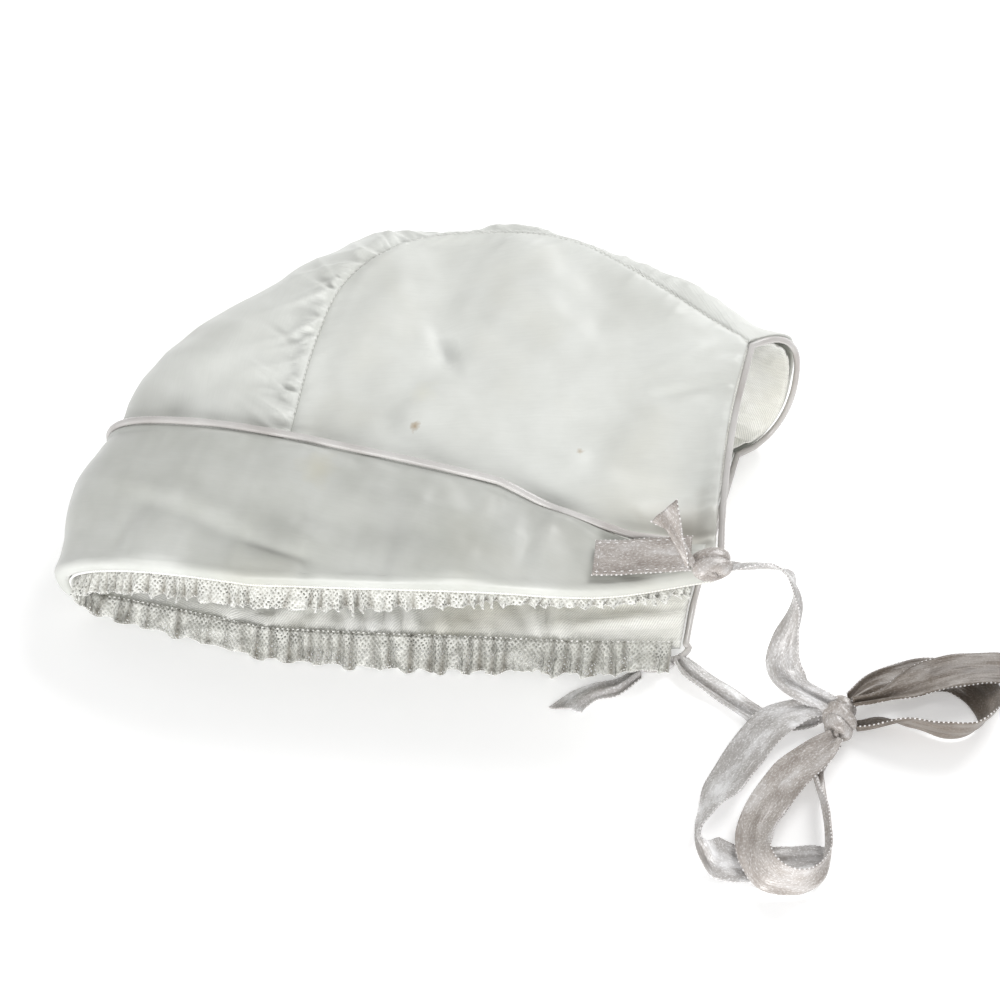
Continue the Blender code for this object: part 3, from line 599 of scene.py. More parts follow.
    def edge_normal(self, lanes: np.ndarray, distance: np.ndarray) -> np.ndarray:
        """The outward directions of the cloth near the face edge.

        Args:
            lanes: One lane for each row.
            distance: Distances, rows by columns.

        Returns:
            The directions, rows by columns.
        """
        distance = np.maximum(distance, 0.0)
        back = self.edge(lanes, distance + 1.5) - self.edge(lanes, distance)
        ahead = self.edge(np.minimum(lanes + 0.02, 3.0), distance)
        side = ahead - self.edge(np.maximum(lanes - 0.02, 0.0), distance)
        return unit(np.cross(back, side))

    def raised(self, lanes: np.ndarray, distance: np.ndarray, rise: np.ndarray) -> np.ndarray:
        """Places above the cloth near the face edge, by lane, distance back and rise."""
        return self.edge(lanes, distance) + rise[..., None] * self.edge_normal(lanes, distance)

    def even_lanes(self, first: float, last: float, count: int) -> np.ndarray:
        """Lanes whose places on the face edge are evenly spaced.

        Args:
            first: The first lane.
            last: The last lane.
            count: How many steps.

        Returns:
            The lanes.
        """
        fine = np.linspace(first, last, 801)
        lengths = run_lengths(self.edge(fine, np.zeros((801, 1)))[:, 0])
        return np.interp(np.linspace(0.0, lengths[-1], count + 1), lengths, fine)


# Making meshes.


def to_row_frame(points: np.ndarray) -> np.ndarray:
    """Points in metres in the row's frame."""
    return (points - CENTRE) * MM


@dataclass
class GridMesh:
    """Collects sheets of four-sided faces with a pattern map in millimetres."""

    name: str
    points: list[np.ndarray] = field(default_factory=list)
    maps: list[np.ndarray] = field(default_factory=list)
    faces: list[np.ndarray] = field(default_factory=list)
    count: int = 0

    def add(self, grid: np.ndarray, pattern: Optional[np.ndarray] = None,
            round_trip: bool = False) -> "GridMesh":
        """Adds a grid of points.

        Args:
            grid: The points, rows by columns.
            pattern: The pattern map at each point, or none to measure it along the grid.
            round_trip: Whether the last column joins the first.

        Returns:
            This collector.
        """
        rows, columns = grid.shape[:2]
        if pattern is None:
            across = run_lengths(grid.transpose(1, 0, 2)).T
            down = run_lengths(grid).mean(axis=1, keepdims=True)
            pattern = np.stack([down + 0 * across, across], axis=-1)
        index = self.count + np.arange(rows * columns).reshape(rows, columns)
        if round_trip:
            index = np.hstack([index, index[:, :1]])
        quads = np.stack([index[:-1, :-1], index[1:, :-1], index[1:, 1:], index[:-1, 1:]], axis=-1)
        self.points.append(grid.reshape(-1, 3))
        self.maps.append(pattern.reshape(-1, 2))
        self.faces.append(quads.reshape(-1, 4))
        self.count += rows * columns
        return self

    def make(self, merge: float = 0.0, depth: Optional[np.ndarray] = None) -> bpy.types.Object:
        """Makes the object.

        Args:
            merge: Points nearer than this, in millimetres, become one.
            depth: A share from 0 to 1 for each point, kept as an attribute: for the lace, how deep it lies in a
                fold, which its finish turns into painted shade; for the lining, how free it is to crumple.

        Returns:
            The object, linked to the scene.
        """
        points = to_row_frame(np.vstack(self.points))
        faces, pattern = np.vstack(self.faces), np.vstack(self.maps)
        span = max(float(np.ptp(pattern, axis=0).max()), 1.0)
        pattern = (pattern - pattern.min(axis=0)) / span
        mesh = bpy.data.meshes.new(self.name)
        mesh.from_pydata(points.tolist(), [], faces.tolist())
        layer = mesh.uv_layers.new(name="pattern")
        corners = np.empty(len(mesh.loops), int)
        mesh.loops.foreach_get("vertex_index", corners)
        layer.data.foreach_set("uv", pattern[corners].astype(np.float32).ravel())
        if depth is not None:
            kept = mesh.attributes.new("depth", "FLOAT", "POINT")
            kept.data.foreach_set("value", depth.astype(np.float32).ravel())
        if merge:
            bm = bmesh.new()
            bm.from_mesh(mesh)
            bmesh.ops.remove_doubles(bm, verts=bm.verts, dist=merge * MM)
            bm.to_mesh(mesh)
            bm.free()
        mesh.shade_smooth()
        made = bpy.data.objects.new(self.name, mesh)
        made["pattern_span_mm"] = span
        bpy.context.collection.objects.link(made)
        return made


def thicken(piece: bpy.types.Object, wall: float) -> bpy.types.Object:
    """Gives a sheet its wall, in millimetres, to both sides of its middle."""
    wall_maker = piece.modifiers.new("wall", "SOLIDIFY")
    wall_maker.thickness = wall * MM
    wall_maker.offset = 0.0
    return piece


def sweep(points: np.ndarray, radius: np.ndarray, sides: int) -> np.ndarray:
    """Rings of points round a line, for a cord.

    Args:
        points: The line's points.
        radius: The radius, points by sides.
        sides: How many points a ring has.

    Returns:
        The rings' points, rows by columns.
    """
    ways = unit(np.gradient(points, axis=0))
    up = np.array((0.0, 0.0, 1.0))
    frames, previous = [], unit(np.cross(ways[0], up) + 1e-6)
    for way in ways:
        previous = unit(previous - way * (previous @ way))
        frames.append(previous)
    first = np.array(frames)
    second = np.cross(ways, first)
    angles = np.linspace(0.0, 2 * math.pi, sides, endpoint=False)
    turned = first[:, None] * np.cos(angles)[None, :, None] + second[:, None] * np.sin(angles)[None, :, None]
    return points[:, None] + radius[..., None] * turned


# Finishes.


@dataclass
class NodeSketch:
    """Builds the nodes of one material."""

    material: bpy.types.Material
    shader: bpy.types.Node = field(init=False)

    def __post_init__(self) -> None:
        """Finds the shader."""
        self.material.use_nodes = True
        self.shader = self.material.node_tree.nodes["Principled BSDF"]

    def node(self, kind: str, values: Optional[dict] = None, **settings: object) -> bpy.types.Node:
        """Adds a node.

        Args:
            kind: The node's type.
            values: Its inputs by name or place: a number, a colour or another node's output.
            settings: Its properties.

        Returns:
            The node.
        """
        made = self.material.node_tree.nodes.new(kind)
        for name, value in settings.items():
            setattr(made, name, value)
        for key, value in (values or {}).items():
            self.feed(made.inputs[key], value)
        return made

    def feed(self, socket: bpy.types.NodeSocket, value: object) -> None:
        """Sets a socket, or links it where the value is an output."""
        if isinstance(value, bpy.types.NodeSocket):
            self.material.node_tree.links.new(value, socket)
        else:
            socket.default_value = value

    def place(self, scale: tuple[float, float, float], pattern: bool,
              turn: float = 0.0) -> bpy.types.NodeSocket:
        """A place to look a pattern up at.

        Args:
            scale: How often the pattern repeats along each way.
            pattern: Whether to follow the piece's pattern map and not its Object place.
            turn: A turn in the pattern's plane, in degrees.

        Returns:
            The output that holds the place.
        """
        where = self.node("ShaderNodeTexCoord").outputs["UV" if pattern else "Object"]
        mapped = self.node("ShaderNodeMapping", {"Vector": where, "Scale": scale})
        mapped.inputs["Rotation"].default_value = (0.0, 0.0, math.radians(turn))
        return mapped.outputs["Vector"]

    def noise(self, where: bpy.types.NodeSocket, detail: float = 3.0,
              rough: float = 0.5) -> bpy.types.NodeSocket:
        """Smooth chance values at a place, at a scale of one."""
        values = {"Vector": where, "Scale": 1.0, "Detail": detail, "Roughness": rough}
        return self.node("ShaderNodeTexNoise", values).outputs["Fac"]

    def spread(self, value: object, low: float, high: float, start: float, end: float) -> bpy.types.NodeSocket:
        """A value moved from one range to another, and held inside it."""
        values = {"Value": value, "From Min": low, "From Max": high, "To Min": start, "To Max": end}
        return self.node("ShaderNodeMapRange", values).outputs["Result"]

    def grey(self, value: object) -> bpy.types.NodeSocket:
        """A grey of one value."""
        return self.node("ShaderNodeCombineColor", {0: value, 1: value, 2: value}).outputs[0]

    def sum(self, kind: str, first: object, second: object) -> bpy.types.NodeSocket:
        """The result of a sum of two values."""
        return self.node("ShaderNodeMath", {0: first, 1: second}, operation=kind).outputs[0]

    def mix(self, share: object, first: object, second: object, kind: str = "MIX") -> bpy.types.NodeSocket:
        """One colour laid over another.

        Args:
            share: How much of the second shows.
            first: The colour below.
            second: The colour above.
            kind: How they are laid.

        Returns:
            The mixed colour.
        """
        mixer = self.node("ShaderNodeMix", data_type="RGBA", blend_type=kind)
        self.feed(mixer.inputs[0], share)
        self.feed(mixer.inputs[6], first)
        self.feed(mixer.inputs[7], second)
        return mixer.outputs[2]

    def bump(self, height: object, depth: float, strength: float, below: object = None) -> bpy.types.NodeSocket:
        """Fine relief from a height.

        Args:
            height: The height, from 0 to 1.
            depth: What a height of 1 is, in millimetres.
            strength: How much of it shows.
            below: Relief that it lies on.

        Returns:
            The changed normal.
        """
        values = {"Height": height, "Distance": depth * MM, "Strength": strength}
        if below is not None:
            values["Normal"] = below
        return self.node("ShaderNodeBump", values).outputs["Normal"]

    def shade(self, values: dict[str, object]) -> bpy.types.Material:
        """Gives the shader its values by name, and returns the finished material."""
        for name, value in values.items():
            self.feed(self.shader.inputs[name], value)
        return self.material


def colour(red: float, green: float, blue: float) -> tuple[float, float, float, float]:
    """A solid colour."""
    return (red, green, blue, 1.0)


@dataclass(frozen=True)
class StainOrPaintedLight:
    """A small spot laid on the cloth's colour, some real stains and others painted shade and painted
    highlights: its place and reach in millimetres, and how strong it is.
    """

    place: tuple[float, float, float]
    reach: float
    strength: float
    tint: tuple[float, float, float, float] = colour(0.42, 0.32, 0.2)


@dataclass(frozen=True)
class SatinFinish:
    """Aged silk satin: fine streaks along its floats, soft clouds of painted shade that stand in for the
    light's play on its sheen, and a quiet sheen.
    """

    base: tuple[float, float, float, float] = colour(0.79, 0.805, 0.77)
    shade: tuple[float, float, float, float] = colour(0.66, 0.67, 0.63)
    warm: tuple[float, float, float, float] = colour(0.73, 0.715, 0.62)
    roughness: float = 0.42
    sheen: float = 0.2
    twill: float = 0.0
    gather_reach: float = 0.0
    stains_and_painted_light: tuple[StainOrPaintedLight, ...] = ()

    def build(self, name: str, span: float) -> bpy.types.Material:
        """Makes the material.

        Args:
            name: Its name.
            span: How many millimetres the piece's pattern map spans.

        Returns:
            The material.
        """
        sketch = NodeSketch(bpy.data.materials.new(name))
        painted_shade_clouds = sketch.noise(sketch.place((38.0, 38.0, 38.0), False), 4.0, 0.55)
        aged = sketch.noise(sketch.place((17.0, 17.0, 17.0), False), 3.0, 0.6)
        streaks = sketch.noise(sketch.place((span / 7.0, span / 0.45, 1.0), True), 3.0, 0.7)
        threads = sketch.noise(sketch.place((span / 1.4, span / 0.2, 1.0), True), 1.0, 0.5)
        # Painted shade: the clouds lay the shade colour in soft patches where light would play on the sheen.
        tone = sketch.mix(sketch.spread(painted_shade_clouds, 0.32, 0.68, 0.0, 1.0), self.base, self.shade)
        tone = sketch.mix(sketch.spread(aged, 0.52, 0.75, 0.0, 0.5), tone, self.warm)
        fine = sketch.spread(streaks, 0.3, 0.7, 0.98, 1.02)
        tone = sketch.mix(1.0, tone, sketch.grey(fine), "MULTIPLY")
        # Spots: real stains, painted shade in hollows and creases, and painted highlights on humps.
        for stain_or_painted_light in self.stains_and_painted_light:
            tone = self.mark(sketch, tone, stain_or_painted_light)
        height = sketch.sum("ADD", sketch.sum("MULTIPLY", streaks, 0.6), sketch.sum("MULTIPLY", threads, 0.4))
        normal = sketch.bump(height, 0.03, 0.3)
        if self.twill:
            rib = sketch.place((span / 0.5, span / 0.5, 1.0), True, 38.0)
            wave = sketch.node("ShaderNodeTexWave", {"Vector": rib, "Scale": math.pi / 10, "Distortion": 2.0,
                                                     "Detail": 2.0, "Detail Scale": 2.0})
            ribs = wave.outputs["Fac"]
            lines = sketch.spread(ribs, 0.0, 1.0, 1.0 - self.twill, 1.0 + 0.5 * self.twill)
            tone = sketch.mix(1.0, tone, sketch.grey(lines), "MULTIPLY")
            normal = sketch.bump(ribs, 0.08, 0.5, normal)
        if self.gather_reach:
            normal = self.gather(sketch, normal, span)
        rough = sketch.spread(streaks, 0.3, 0.7, self.roughness - 0.06, self.roughness + 0.08)
        return sketch.shade({"Base Color": tone, "Roughness": rough, "Normal": normal,
                             "Sheen Weight": self.sheen, "Sheen Roughness": 0.4, "Specular IOR Level": 0.45})

    def gather(self, sketch: NodeSketch, normal: bpy.types.NodeSocket, span: float) -> bpy.types.NodeSocket:
        """Draws fine gathers square to the seam at the start of the pattern map.

        Args:
            sketch: The material's nodes.
            normal: The relief so far.
            span: How many millimetres the pattern map spans.

        Returns:
            The changed relief.
        """
        ridges = sketch.noise(sketch.place((span / 1.1, span / 9.0, 1.0), True), 2.0, 0.6)
        map_place = sketch.node("ShaderNodeTexCoord").outputs["UV"]
        away = sketch.node("ShaderNodeSeparateXYZ", {0: map_place}).outputs["Y"]
        near = sketch.spread(away, 0.6 / span, self.gather_reach / span, 1.0, 0.0)
        fading = sketch.sum("MULTIPLY", near, near)
        return sketch.bump(sketch.sum("MULTIPLY", ridges, fading), 0.4, 0.8, normal)

    def mark(self, sketch: NodeSketch, tone: bpy.types.NodeSocket, stain_or_painted_light: StainOrPaintedLight) -> bpy.types.NodeSocket:
        """Lays a spot on the colour; the spots are real stains, painted shade and painted highlights.

        Args:
            sketch: The material's nodes.
            tone: The colour so far.
            stain_or_painted_light: The spot.

        Returns:
            The changed colour.
        """
        where = sketch.place((1.0, 1.0, 0.25), False)
        middle = tuple(to_row_frame(np.array(stain_or_painted_light.place)) * np.array((1.0, 1.0, 0.25)))
        away = sketch.node("ShaderNodeVectorMath", {0: where, 1: middle}, operation="DISTANCE").outputs["Value"]
        ragged = sketch.noise(sketch.place((1.4 / (stain_or_painted_light.reach * MM),) * 3, False), 2.0)
        edge = sketch.sum("MULTIPLY", away, sketch.spread(ragged, 0.3, 0.7, 0.7, 1.4))
        return sketch.mix(sketch.spread(edge, 0.0, stain_or_painted_light.reach * MM, stain_or_painted_light.strength, 0.0), tone, stain_or_painted_light.tint)


@dataclass(frozen=True)
class LaceFinish:
    """Cream cotton lace: a fine net with small holes and crossed threads, with painted shade in the valleys of
    its pleats.
    """

    base: tuple[float, float, float, float] = colour(0.84, 0.845, 0.81)
    shade: tuple[float, float, float, float] = colour(0.46, 0.45, 0.40)
    # The painted shade laid in the pleats' valleys.
    deep: tuple[float, float, float, float] = colour(0.25, 0.235, 0.20)
    mesh: float = 1.0
    hole: float = 0.3

    def build(self, name: str, span: float) -> bpy.types.Material:
        """Makes the material.

        Args:
            name: Its name.
            span: How many millimetres the piece's pattern map spans.

        Returns:
            The material.
        """
        sketch = NodeSketch(bpy.data.materials.new(name))
        wobble = sketch.noise(sketch.place((span / 2.2,) * 3, True), 2.0)
        cell = sketch.place((span / self.mesh,) * 3, True, 45.0)
        shift = sketch.node("ShaderNodeVectorMath", {0: cell, 1: wobble}, operation="ADD").outputs[0]
        near = sketch.node("ShaderNodeTexVoronoi", {"Vector": shift, "Scale": 1.0, "Randomness": 0.35},
                           voronoi_dimensions="2D").outputs["Distance"]
        dense = sketch.noise(sketch.place((span / 5.0,) * 3, True), 2.0)
        size = sketch.spread(dense, 0.36, 0.62, 0.06, self.hole)
        solid = sketch.sum("GREATER_THAN", near, size)
        fine = sketch.noise(sketch.place((span / 0.35,) * 3, True), 2.0, 0.7)
        tone = sketch.mix(sketch.spread(fine, 0.4, 0.66, 0.0, 0.75), self.base, self.shade)
        tone = sketch.mix(sketch.spread(near, 0.08, 0.42, 0.75, 0.0), tone, self.shade)
        # Painted shade: the deeper a point lies in a pleat's valley, the more of the deep colour it takes.
        depth = sketch.node("ShaderNodeAttribute", attribute_name="depth").outputs["Fac"]
        tone = sketch.mix(sketch.spread(depth, 0.12, 0.75, 0.0, 0.95), tone, self.deep)
        height = sketch.sum("ADD", sketch.sum("MULTIPLY", fine, 0.5), near)
        return sketch.shade({"Base Color": tone, "Normal": sketch.bump(height, 0.3, 0.8), "Alpha": solid,
                             "Roughness": 0.8, "Sheen Weight": 0.3})


@dataclass(frozen=True)
class RibbonFinish:
    """Taupe satin ribbon with fine lengthwise ribs, painted glints and broad patches of painted sheen and
    shade.
    """

    base: tuple[float, float, float, float] = colour(0.47, 0.43, 0.40)
    shade: tuple[float, float, float, float] = colour(0.24, 0.205, 0.18)
    # The highlight colour that the glints and sheen patches are painted in.
    light: tuple[float, float, float, float] = colour(0.80, 0.79, 0.79)
    roughness: float = 0.22
    painted_sheen: float = 0.55

    def build(self, name: str, span: float) -> bpy.types.Material:
        """Makes the material.

        Args:
            name: Its name.
            span: How many millimetres the piece's pattern map spans.

        Returns:
            The material.
        """
        sketch = NodeSketch(bpy.data.materials.new(name))
        streaks = sketch.noise(sketch.place((span / 9.0, span / 0.9, 1.0), True), 3.0, 0.6)
        ribs = sketch.noise(sketch.place((span / 12.0, span / 0.4, 1.0), True), 1.0, 0.5)
        flecks = sketch.noise(sketch.place((span / 0.7, span / 0.4, 1.0), True), 2.0, 0.7)
        tone = sketch.mix(sketch.spread(streaks, 0.35, 0.7, 0.0, 0.45), self.base, self.shade)
        # Painted glints: the brightest flecks take the highlight colour and the darkest the shade colour.
        tone = sketch.mix(sketch.spread(flecks, 0.52, 0.7, 0.0, 0.7), tone, self.light)
        tone = sketch.mix(sketch.spread(flecks, 0.3, 0.44, 0.55, 0.0), tone, self.shade)
        # Painted sheen: broad patches along the ribbon take the highlight colour, others the shade colour.
        sheen_patches = sketch.noise(sketch.place((span / 16.0, span / 7.0, 1.0), True), 3.0, 0.6)
        tone = sketch.mix(sketch.spread(sheen_patches, 0.5, 0.66, 0.0, self.painted_sheen), tone, self.light)
        tone = sketch.mix(sketch.spread(sheen_patches, 0.34, 0.48, 0.75, 0.0), tone, self.shade)
        height = sketch.sum("ADD", streaks, sketch.sum("MULTIPLY", ribs, 0.6))
        grain = sketch.noise(sketch.place((span / 0.4, span / 0.3, 1.0), True), 2.0, 0.7)
        normal = sketch.bump(grain, 0.07, 0.5, sketch.bump(height, 0.2, 0.6))
        rough = sketch.spread(flecks, 0.3, 0.7, self.roughness - 0.06, self.roughness + 0.1)
        return sketch.shade({"Base Color": tone, "Normal": normal, "Roughness": rough, "Sheen Weight": 0.12,
                             "Specular IOR Level": 0.6})


@dataclass(frozen=True)
class ThreadFinish:
    """Soft thread for stitches and for the ribbon's looped edge."""

    base: tuple[float, float, float, float] = colour(0.87, 0.85, 0.84)

    def build(self, name: str) -> bpy.types.Material:
        """Makes the material.

        Args:
            name: Its name.

        Returns:
            The material.
        """
        sketch = NodeSketch(bpy.data.materials.new(name))
        twist = sketch.noise(sketch.place((4200.0, 4200.0, 4200.0), False), 2.0, 0.6)
        dark = tuple(0.8 * value for value in self.base[:3]) + (1.0,)
        tone = sketch.mix(sketch.spread(twist, 0.4, 0.7, 0.0, 0.7), self.base, dark)
        return sketch.shade({"Base Color": tone, "Normal": sketch.bump(twist, 0.05, 0.5), "Roughness": 0.5,
                             "Sheen Weight": 0.2})


def carry(piece: bpy.types.Object) -> None:
    """Lets a piece move with the bonnet."""
    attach(piece, BODY)


def dress(piece: bpy.types.Object, material: bpy.types.Material, slot: Slot, *nodes: str) -> bpy.types.Object:
    """Gives a piece its finish and its place among the solids.

    Args:
        piece: The piece.
        material: Its finish.
        slot: The record's slot that the finish belongs to; not used.
        nodes: The solids that it stands for.

    Returns:
        The piece.
    """
    piece.data.materials.clear()
    piece.data.materials.append(material)
    carry(piece)
    if nodes:
        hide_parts(*nodes)
    LOG.info("made %s, %d faces", piece.name, len(piece.data.polygons))
    return piece


# What repeats: stitches and looped edges.


@dataclass(frozen=True)
class ThreadRow:
    """Beads of thread along lines, made by Geometry Nodes."""

    spacing: float
    long: float
    wide: float
    seed: int = 5
    unevenness: float = 0.25

    def tree(self, material: bpy.types.Material) -> bpy.types.NodeTree:
        """Builds the node tree.

        Args:
            material: What the beads are made of.

        Returns:
            The tree.
        """
        tree = bpy.data.node_groups.new("thread_row", "GeometryNodeTree")
        for name, kind in (("Line", "NodeSocketGeometry"), ("Spacing", "NodeSocketFloat"),
                           ("Long", "NodeSocketFloat"), ("Wide", "NodeSocketFloat"),
                           ("Unevenness", "NodeSocketFloat"), ("Seed", "NodeSocketInt")):
            tree.interface.new_socket(name, in_out="INPUT", socket_type=kind)
        tree.interface.new_socket("Thread", in_out="OUTPUT", socket_type="NodeSocketGeometry")
        nodes, links = tree.nodes, tree.links
        given, done = nodes.new("NodeGroupInput"), nodes.new("NodeGroupOutput")
        curve = nodes.new("GeometryNodeMeshToCurve")
        even = nodes.new("GeometryNodeResampleCurve")
        even.mode = "LENGTH"
        bead = nodes.new("GeometryNodeMeshIcoSphere")
        bead.inputs["Radius"].default_value = 0.5
        bead.inputs["Subdivisions"].default_value = 1
        size = nodes.new("ShaderNodeCombineXYZ")
        chance = nodes.new("FunctionNodeRandomValue")
        chance.data_type = "FLOAT"
        least = nodes.new("ShaderNodeMath")
        least.operation = "SUBTRACT"
        least.inputs[0].default_value = 1.0
        scaled = nodes.new("ShaderNodeVectorMath")
        scaled.operation = "SCALE"
        tangent = nodes.new("GeometryNodeInputTangent")
        aim = nodes.new("FunctionNodeAlignRotationToVector")
        aim.axis = "X"
        spots = nodes.new("GeometryNodeInstanceOnPoints")
        real = nodes.new("GeometryNodeRealizeInstances")
        smooth = nodes.new("GeometryNodeSetShadeSmooth")
        paint = nodes.new("GeometryNodeSetMaterial")
        paint.inputs["Material"].default_value = material
        scale_in = [socket for socket in chance.inputs if socket.enabled and socket.type == "VALUE"]
        scale_out = next(socket for socket in chance.outputs if socket.enabled)
        for source, goal in (
            (given.outputs["Line"], curve.inputs[0]), (curve.outputs[0], even.inputs["Curve"]),
            (given.outputs["Spacing"], even.inputs["Length"]), (given.outputs["Long"], size.inputs["X"]),
            (given.outputs["Wide"], size.inputs["Y"]), (given.outputs["Wide"], size.inputs["Z"]),
            (given.outputs["Unevenness"], least.inputs[1]), (least.outputs[0], scale_in[0]),
            (given.outputs["Seed"], chance.inputs["Seed"]), (size.outputs[0], scaled.inputs[0]),
            (scale_out, scaled.inputs["Scale"]), (tangent.outputs[0], aim.inputs["Vector"]),
            (even.outputs[0], spots.inputs["Points"]), (bead.outputs["Mesh"], spots.inputs["Instance"]),
            (aim.outputs[0], spots.inputs["Rotation"]), (scaled.outputs[0], spots.inputs["Scale"]),
            (spots.outputs[0], real.inputs[0]), (real.outputs[0], smooth.inputs["Geometry"]),
            (smooth.outputs[0], paint.inputs["Geometry"]), (paint.outputs[0], done.inputs["Thread"]),
        ):
            links.new(source, goal)
        return tree

    def make(self, name: str, lines: Sequence[np.ndarray], material: bpy.types.Material) -> bpy.types.Object:
        """Makes the beads of thread as one plain mesh.

        Args:
            name: The piece's name.
            lines: The lines that they follow, in millimetres.
            material: What they are made of.

        Returns:
            The piece.
        """
        mesh = bpy.data.meshes.new(name)
        points, edges = [], []
        for line in lines:
            edges += [(len(points) + i, len(points) + i + 1) for i in range(len(line) - 1)]
            points += to_row_frame(line).tolist()
        mesh.from_pydata(points, edges, [])
        carrier = bpy.data.objects.new(name + "_line", mesh)
        bpy.context.collection.objects.link(carrier)
        maker = carrier.modifiers.new("thread", "NODES")
        maker.node_group = self.tree(material)
        given = {"Spacing": self.spacing * MM, "Long": self.long * MM, "Wide": self.wide * MM,
                 "Unevenness": self.unevenness, "Seed": self.seed}
        for socket in maker.node_group.interface.items_tree:
            if socket.in_out == "INPUT" and socket.name in given:
                maker[socket.identifier] = given[socket.name]
        graph = bpy.context.evaluated_depsgraph_get()
        plain = bpy.data.meshes.new_from_object(carrier.evaluated_get(graph))
        plain.name = name
        made = bpy.data.objects.new(name, plain)
        bpy.context.collection.objects.link(made)
        bpy.data.objects.remove(carrier, do_unlink=True)
        return made


# The bonnet's own pieces.


class SideGrid(NamedTuple):
    """A side panel's points, and at each the lengths from the front seam and back from the face edge."""

    points: np.ndarray
    down: np.ndarray
    back: np.ndarray


@dataclass
class OuterPanels:
    """The three outer panels, gathered and seamed."""

    shape: ClothShape
    wall: float = 0.7
    seam_depth: float = 0.42
    seam_width: float = 0.6
    nape_inset: float = 0.012
    face_inset: float = 0.018
    upper_steps: tuple[int, int] = (170, 150)
    lower_steps: tuple[int, int] = (90, 90)
    centre_steps: tuple[int, int] = (590, 80)
    centre_crowding: float = 1.45
    gather_least: float = 0.22
    gather_middle: float = -40.0
    gather_reach: float = 24.0
    creases: tuple[Relief, ...] = ()
    ripples: Ripples = Ripples(seed=11, count=20, shortest=7.0, longest=44.0, height=0.85)
    gathers: Puckers = Puckers(7, 1.8, (5.0, 20.0), (0.55, 1.1), (0.3, 1.35), 0.75)
    side_puckers: Puckers = Puckers(9, 2.8, (2.0, 9.0), (0.5, 1.3), (0.12, 0.5), 0.5)
    nape_puckers: Puckers = Puckers(13, 3.2, (2.0, 7.0), (0.5, 1.1), (0.3, 0.85))

    def dip(self, back: np.ndarray) -> np.ndarray:
        """How far the cloth sinks into a seam at a distance from it."""
        return -self.seam_depth * np.exp(-(back / self.seam_width) ** 2)

    def side_grid(self, lane_of: Callable[[np.ndarray], np.ndarray], rows: int, columns: int) -> SideGrid:
        """A side panel's points, measured along its cloth.

        Args:
            lane_of: Turns the way across from the seam into a lane.
            rows: Steps from the seam to the nape edge.
            columns: Steps from the face edge back to the seam.

        Returns:
            The points and the lengths.
        """
        across = np.linspace(0.0, 1 - self.nape_inset, rows + 1)[:, None]
        share = np.linspace(self.face_inset, 1.0, columns + 1)[None]
        across, share = np.broadcast_arrays(across, share)
        points = self.shape.cloth(lane_of(across), share)
        return SideGrid(points, run_lengths(points), run_lengths(points.transpose(1, 0, 2)).T)

    def side_lift(self, grid: SideGrid) -> np.ndarray:
        """The fine relief of a side panel: seams, puckers and waves."""
        front_length, back_length = float(grid.back[0, -1]), float(grid.down[-1, -1])
        from_back_seam, from_nape = grid.back[:, -1:] - grid.back, grid.down[-1:] - grid.down
        run = np.where(grid.down < from_back_seam, grid.back, front_length + grid.down)
        near = np.minimum(grid.down, from_back_seam)
        lifted = self.dip(near) + self.side_puckers.lift(run, near, front_length + back_length)
        lifted += self.nape_puckers.lift(grid.back, from_nape, front_length)
        calm = ease(near / 6.0) * ease(from_nape / 5.0)
        return lifted + calm * self.ripples.lift(grid.points)

    def make_upper(self, finish: SatinFinish) -> bpy.types.Object:
        """Makes the side panel that faces up.

        Args:
            finish: Its satin.

        Returns:
            The panel.
        """
        grid = self.side_grid(lambda across: 1 - across, *self.upper_steps)
        points = grid.points
        lift = self.side_lift(grid) + relief_height(points, self.creases)
        points = points + lift[..., None] * self.outward(points, up=True)
        piece = thicken(GridMesh("side_panel_upper").add(points, points[..., :2]).make(), self.wall)
        dress(piece, finish.build("satin_side_upper", piece["pattern_span_mm"]), Slot.SATIN, "side_panel_upper")
        return piece

    def make_lower(self, finish: SatinFinish) -> bpy.types.Object:
        """Makes the side panel that lies on the table.

        Args:
            finish: Its satin.

        Returns:
            The panel.
        """
        grid = self.side_grid(lambda across: 2 + across, *self.lower_steps)
        points = grid.points
        lift = 0.25 * np.maximum(self.side_lift(grid), -1.2)
        points = points - lift[..., None] * self.outward(points, up=True)
        points[..., 2] = np.maximum(points[..., 2], self.wall / 2 + TABLE_GAP)
        points = points[::-1]
        piece = thicken(GridMesh("side_panel_lower").add(points, points[..., :2]).make(), self.wall)
        dress(piece, finish.build("satin_side_lower", piece["pattern_span_mm"]), Slot.SATIN, "side_panel_lower")
        return piece

    def outward(self, points: np.ndarray, up: bool) -> np.ndarray:
        """The grid's directions, turned so that most of them point up or down."""
        normals = grid_normals(points)
        return normals if (normals[..., 2].mean() > 0) == up else -normals

    def centre_points(self, rows: int, columns: int) -> np.ndarray:
        """The centre panel's points, by the way along and the way around."""
        along = np.linspace(TURN * self.face_inset, 1 - (1 - TURN) * self.nape_inset, rows + 1)[:, None]
        around = (np.linspace(0.0, 1.0, columns + 1) ** self.centre_crowding)[None]
        along, around = np.broadcast_arrays(along, around)
        lane = 1 + np.clip(around, NEAR_SEAM, 1 - NEAR_SEAM)
        return self.shape.cloth(lane, along / TURN)

